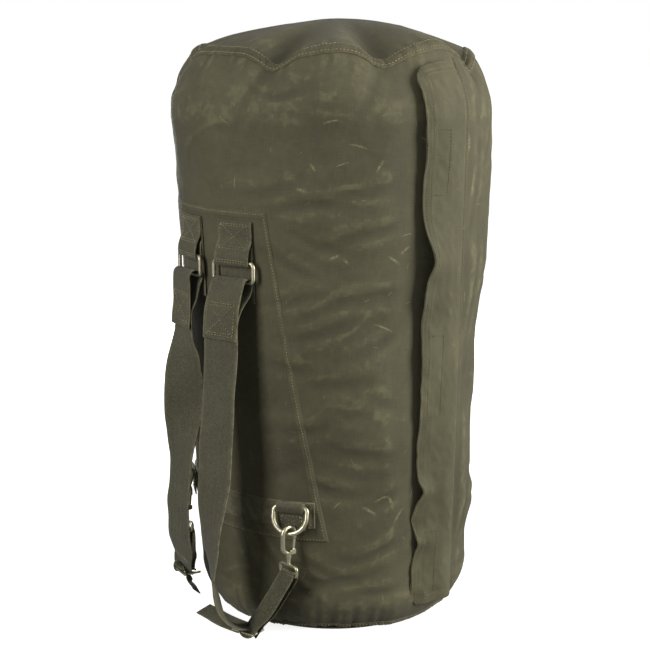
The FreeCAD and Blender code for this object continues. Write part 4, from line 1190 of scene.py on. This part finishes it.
def make_upper_tab(name, side):
    """Webbing folded round the ring's top bar and sewn to the wall over a longer back layer."""
    azimuth = side * TAB_AZ
    low, high = (corner.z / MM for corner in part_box(f"{name}_upper_tab"))
    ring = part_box(f"{name}_ring")
    bar_z = ring[1].z / MM - RING_WIRE / MM / 2
    bar_r = wall_mm(bar_z) + RING_OUT
    flat = [(wall_mm(z) + 2.7, z) for z in np.linspace(high - 0.5, low + 0.5, 8)]
    back = Strip(radial(azimuth, flat), across_at(azimuth - 90, 8), WIDE, WEB * 0.9, 2 * MM)
    piece = back.mesh(f"{name}_tab_back", WEBBING, 17, ripple=0.3 * MM, seed=61 + side)
    hug(piece, back, 0.41, TAB_TOP)
    sewn_on(piece, "bag", "wide_webbing", f"{name}_upper_tab")
    front = [(wall_mm(z) + 4.8, z) for z in (high, high - 10, high - 20)]
    front += [(bar_r + 1.5, bar_z + 16), (bar_r + 3.9, bar_z + 7)] + arc(bar_r, bar_z, 4.1, 0, -180)
    front += [(bar_r - 3.9, bar_z + 7), (wall_mm(bar_z + 18) + 3.4, bar_z + 18)]
    folded = Strip(radial(azimuth, front), across_at(azimuth - 90, len(front)), WIDE, WEB, 1.2 * MM)
    piece = folded.mesh(f"{name}_tab_fold", WEBBING, 17, ripple=0.25 * MM, seed=63 + side)
    hug(piece, folded, TAB_SEWN, TAB_TOP)
    sewn_on(piece, "bag", "wide_webbing", f"{name}_upper_tab")
    rows = box_cross(folded, 3 * MM, 33 * MM, 20.5 * MM, 0.1 * MM)
    rows.append(line_across(folded, 30.2 * MM, 20.5 * MM, 0.2 * MM))
    rows.append(line_across(folded, 5.4 * MM, 20.5 * MM, 0.1 * MM))
    rows += [line_across(folded, r * MM, 22.5 * MM) for r in (46.5, 49.0)]
    bent = []
    for points, normals in rows:
        x = (points - folded.centre[0]) @ folded.side[0]
        share = smooth_step((points[:, 2] - TAB_SEWN) / TAB_EASE)
        bent.append((points - normals * (share * x**2 / (2 * TAB_WALL_R))[:, None], normals))
    bent += [line_across(back, r * MM, 21 * MM) for r in (69.5, 75.5)]
    sewn_on(stitches(f"{name}_tab_stitches", bent, THREAD, seed=12), "bag", "wide_webbing")


def make_strap(name, side, path):
    """The shoulder strap: doubled over the ring's lower bar, down to its tapered end in the buckle."""
    azimuth = side * TAB_AZ
    bar_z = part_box(f"{name}_ring")[0].z / MM + RING_WIRE / MM / 2
    bar_r = wall_mm(RING_BAR) + RING_OUT
    out = path[0][0]
    front = [(out + 4.2, 385), (out + 2.9, 402)]
    front += [(max(out + 0.6, bar_r + 12.0), 420), (max(out - 4.6, bar_r + 11.6), 434)]
    line = front + arc(bar_r + 3.9, bar_z - 2.9, 7.5, 15, 180) + [(bar_r - 0.8, 438), (out - 7.5, 421)]
    upper = line + [(r, z) for r, z, _ in path]
    tail = np.array(STRAP_ENDS[name], float)
    points = np.vstack([radial(azimuth, upper), tail[:, :3] * MM])
    twist = [0.0] * len(line) + [turn for _, _, turn in path] + list(tail[:, 4])
    widths = [WIDE] * len(upper) + list(tail[:, 3] * MM)
    across = at(azimuth - 90 + np.array(twist), 1, 0)
    strip = Strip(points, across, WIDE, WEB, 1.6 * MM)
    knots = strip.run[[np.argmin(np.linalg.norm(strip.centre - p, axis=1)) for p in points]]
    order = np.argsort(knots)
    strip.width = np.interp(strip.run, knots[order], np.array(widths)[order])
    piece = strip.mesh(f"{name}_strap_web", WEBBING, 19, ripple=0.9 * MM, seed=71 + side)
    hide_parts(f"{name}_strap_end_loop", f"{name}_strap_webbing", f"{name}_strap_tip")
    top, low = radial(azimuth, [(bar_r + 3, 447), (bar_r + 11, 433)])
    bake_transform(piece)
    rows = box_cross(strip, 5 * MM, 43 * MM, 20.5 * MM, face=-1)
    rows += [line_across(strip, r * MM, 20.5 * MM, face=-1) for r in (8.0, 40.0)]
    sewing = stitches(f"{name}_strap_stitches", rows, THREAD, seed=14 + side)
    sewn_on(sewing, f"{name}_strap", "wide_webbing")
    hem = strip.long - 30 * MM
    width = float(np.interp(hem, strip.run, strip.width)) / 2 - 3 * MM
    ends = [line_across(strip, hem - r, width) for r in (0.0, 3 * MM)]
    sewing = stitches(f"{name}_tip_stitches", ends, THREAD, seed=16 + side)
    sewn_on(sewing, f"{name}_strap", "wide_webbing")


def make_adjuster(name, side):
    """The narrow ribbed webbing from the buckle, round the swivel eye and back."""
    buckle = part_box(f"{name}_buckle_bar")
    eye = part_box(f"{name}_swivel_eye")
    bar = np.array((buckle[0] + buckle[1]) / 2) / MM
    hole = np.array((eye[0] + eye[1]) / 2) / MM
    hole[2] = eye[0].z / MM + EYE_WIRE / MM / 2

    def between(share, out, down):
        """A point between the buckle and the eye that hangs out and down from the straight line."""
        return bar + (hole - bar) * share - (0, out, down)

    fold = 3.4
    outer = [bar + (-side * 9, -2, 2.5), bar + (side * 6, -2, 3.5),
             between(0.3, 7, 9), between(0.58, 9, 13), between(0.82, 7, 8), hole - (0, fold, 0)]
    loop = [hole + (0, -fold * math.cos(a), fold * math.sin(a)) for a in np.radians([45, 90, 135, 180])]
    inner = [hole + (0, fold + 0.2, -2), between(0.80, -5, 4), between(0.5, -4, 9),
             between(0.24, -2, 6), bar + (side * 3, 3, -2.5)]
    points = np.array(outer + loop + inner) * MM
    if side < 0:
        points[:, 2] = np.maximum(points[:, 2], 6 * MM)
    across = np.tile((-1.0, 0.0, 0.0), (len(points), 1))
    turn = np.array([-1.0, 0.25, 0.0])
    across[:3] = turn / np.linalg.norm(turn)
    strip = Strip(points, across, NARROW * 0.97, TAPE, 0.55 * MM)
    piece = strip.mesh(f"{name}_adjuster_web", NARROW_WEB, 11, ripple=0.3 * MM, seed=81, rib=0.16 * MM)
    sewn_on(piece, f"{name}_strap", "narrow_webbing", f"{name}_adjuster_webbing")
    make_tail(name, side, bar)


def make_tail(name, side, bar):
    """The narrow webbing's free end, past the buckle's bar."""
    low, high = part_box(f"{name}_webbing_tail")
    tip_x = low.x if side > 0 else high.x
    tip = np.array((tip_x / MM, (low.y + high.y) / 2 / MM - 1, (low.z + high.z) / 2 / MM))
    if side < 0:
        tip[2] = low.z / MM + 14
    start = bar + (-side * 4, -3, -1.5)
    humps = [(0, (0, 0, 0)), (0.25, (0, -2, 2.2)), (0.5, (0, -3, 1.5)), (0.75, (0, -1, 0.4)), (1, (0, 0, 0))]
    tail = np.array([start * (1 - share) + tip * share + off for share, off in humps]) * MM
    tail[:, 2] = np.maximum(tail[:, 2], 12.5 * MM if side > 0 else 6 * MM)
    across = np.tile((0.0, 0.95, 0.25) if side > 0 else (0.73, -0.65, 0.2), (len(tail), 1))
    strip = Strip(tail, across, NARROW * 0.9, TAPE, 0.55 * MM)
    piece = strip.mesh(f"{name}_tail_web", NARROW_WEB, 11, ripple=0.4 * MM, seed=83, rib=0.16 * MM)
    sewn_on(piece, f"{name}_strap", "narrow_webbing", f"{name}_webbing_tail")


def make_d_tab(name, side):
    """Webbing folded round the D-ring's bar and sewn to the band."""
    azimuth = side * D_AZ
    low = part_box(f"{name}_d_ring_tab")[0].z / MM
    bar_r, bar_z = wall_mm(D_BAR) + D_OUT, D_BAR
    line = [(wall_mm(low) + 5.6, low), (wall_mm(low + 12) + 5.6, low + 12), (bar_r - 3.8, bar_z - 8)]
    line += arc(bar_r, bar_z, 4.5, 190, -20, 9) + [(bar_r + 2.6, bar_z - 5.5)]
    points = radial(azimuth, line)
    strip = Strip(points, across_at(azimuth + 90, len(line)), D_TAB, WEB, 1.0 * MM)
    piece = strip.mesh(f"{name}_d_tab", WEBBING, 15, ripple=0.2 * MM, seed=91)
    sewn_on(piece, "bag", "wide_webbing", f"{name}_d_ring_tab")
    rows = box_cross(strip, 2.5 * MM, 18 * MM, 13 * MM)
    sewn_on(stitches(f"{name}_d_tab_stitches", rows, THREAD, seed=18), "bag", "wide_webbing")


def paint(material, *nodes):
    """A CAD piece keeps its shape and takes this material."""
    for name in nodes:
        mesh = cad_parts[name].data
        mesh.materials.clear()
        mesh.materials.append(material)
        mesh.shade_smooth()


def make_hardware():
    for name in STRAPS:
        drawn = ("ring", "d_ring", "swivel_eye", "hook_gate", "gate_pin")
        paint(NICKEL, *(f"{name}_{part}" for part in drawn))
        paint(CAST, *(f"{name}_{part}" for part in ("hook_body", "buckle_frame", "buckle_bar")))
    paint(TAPE_CLOTH, "zipper_tape_left", "zipper_tape_right")
    paint(BRASS, "zipper_teeth_left", "zipper_teeth_right", "zipper_bottom_stop", "zipper_top_stop",
          "zipper_slider", "zipper_pull")


# Stage ---------------------------------------------------------------------------------------

def light(name, place, target, size, power, color=(1, 1, 1)):
    lamp = bpy.data.lights.new(name, "AREA")
    lamp.shape, lamp.size, lamp.size_y, lamp.energy, lamp.color = "RECTANGLE", size[0], size[1], power, color
    obj = bpy.data.objects.new(name, lamp)
    bpy.context.scene.collection.objects.link(obj)
    obj.location = place
    obj.rotation_euler = (Vector(target) - Vector(place)).to_track_quat("-Z", "Y").to_euler()


def seen_from(azimuth, distance, height):
    return tuple(float(v) for v in at(azimuth, distance, height))


def make_stage():
    mesh = bpy.data.meshes.new("floor")
    mesh.from_pydata([(-30, -30, 0), (30, -30, 0), (30, 30, 0), (-30, 30, 0)], [], [(0, 1, 2, 3)])
    floor = bpy.data.objects.new("floor", mesh)
    bpy.context.scene.collection.objects.link(floor)
    s = Shader("floor_paper")
    tone = s.noise(s.place(), 3.0, 2)
    away = s.node("ShaderNodeVectorMath", {0: s.place()}, operation="LENGTH").outputs["Value"]
    # The floor glows as a white backdrop. Its glow is dimmer near the bag, a painted shade round it.
    s.put(s.surface.inputs["Emission Strength"], s.remap(away, 0.2, 1.1, 0.86, 1.02))
    mesh.materials.append(s.finish(s.mix(tone, (0.60, 0.60, 0.59, 1), (0.64, 0.64, 0.63, 1)), 0.9,
                                   s.bump(tone, 0.1 * MM, 0.1), Specular_IOR_Level=0.0,
                                   Emission_Color=(1, 1, 1, 1)))
    floor.visible_diffuse = False
    floor.visible_glossy = False
    world = bpy.data.worlds.new("studio")
    world.use_nodes = True
    nodes = world.node_tree.nodes
    path = nodes.new("ShaderNodeLightPath")
    fill, bright = nodes.new("ShaderNodeMapRange"), nodes.new("ShaderNodeMath")
    fill.inputs[3].default_value, fill.inputs[4].default_value = 0.12, 0.3
    bright.operation = "MAXIMUM"
    world.node_tree.links.new(path.outputs["Is Glossy Ray"], fill.inputs[0])
    world.node_tree.links.new(fill.outputs[0], bright.inputs[0])
    world.node_tree.links.new(path.outputs["Is Camera Ray"], bright.inputs[1])
    world.node_tree.links.new(bright.outputs[0], nodes["Background"].inputs[1])
    nodes["Background"].inputs[0].default_value = (1, 1, 1, 1)
    bpy.context.scene.world = world
    bpy.context.scene.view_settings.view_transform = "Standard"
    middle = (0, 0, 0.36)
    light("right_softbox", seen_from(121, 1.9, 0.9), middle, (0.7, 1.5), 52, (1.0, 0.985, 0.93))
    light("front_softbox", seen_from(7, 1.9, 1.1), middle, (0.6, 1.3), 25, (1.0, 0.99, 0.95))
    light("back_softbox", seen_from(240, 1.9, 0.4), middle, (0.8, 0.7), 30, (1.0, 0.99, 0.96))
    light("overhead", (0.2, -0.2, 2.4), middle, (1.0, 1.0), 5)
    camera = bpy.data.cameras.new("camera")
    camera.lens = 74.3
    camera.sensor_width = 36
    view = bpy.data.objects.new("camera", camera)
    bpy.context.scene.collection.objects.link(view)
    view.location = (1.2763, -1.1635, 0.730)
    view.rotation_euler = (math.radians(78), 0, math.radians(48))
    bpy.context.scene.camera = view


make_stage()
make_wall()
make_crown()
make_base()
crown_runs = (SEAM_RUN - 1.3 * SEAM_HALF, SEAM_RUN + 1.2 * SEAM_HALF)
seam_band("crown_seam", "crown_seam_band", crown_runs, (0.2, 0.8), 3)
base_runs = (RIM_RUN + 0.004, RIM_RUN + 0.004 + 2 * SEAM_HALF)
seam_band("base_seam", "base_seam_band", base_runs, (0.25, 0.75), 4)
make_back_panel()
make_ring_band()
make_flap()
make_strips()
make_hinge_seam()
for strap_name, (strap_side, strap_path) in STRAPS.items():
    make_upper_tab(strap_name, strap_side)
    make_strap(strap_name, strap_side, strap_path)
    make_adjuster(strap_name, strap_side)
    make_d_tab(strap_name, strap_side)
make_hardware()
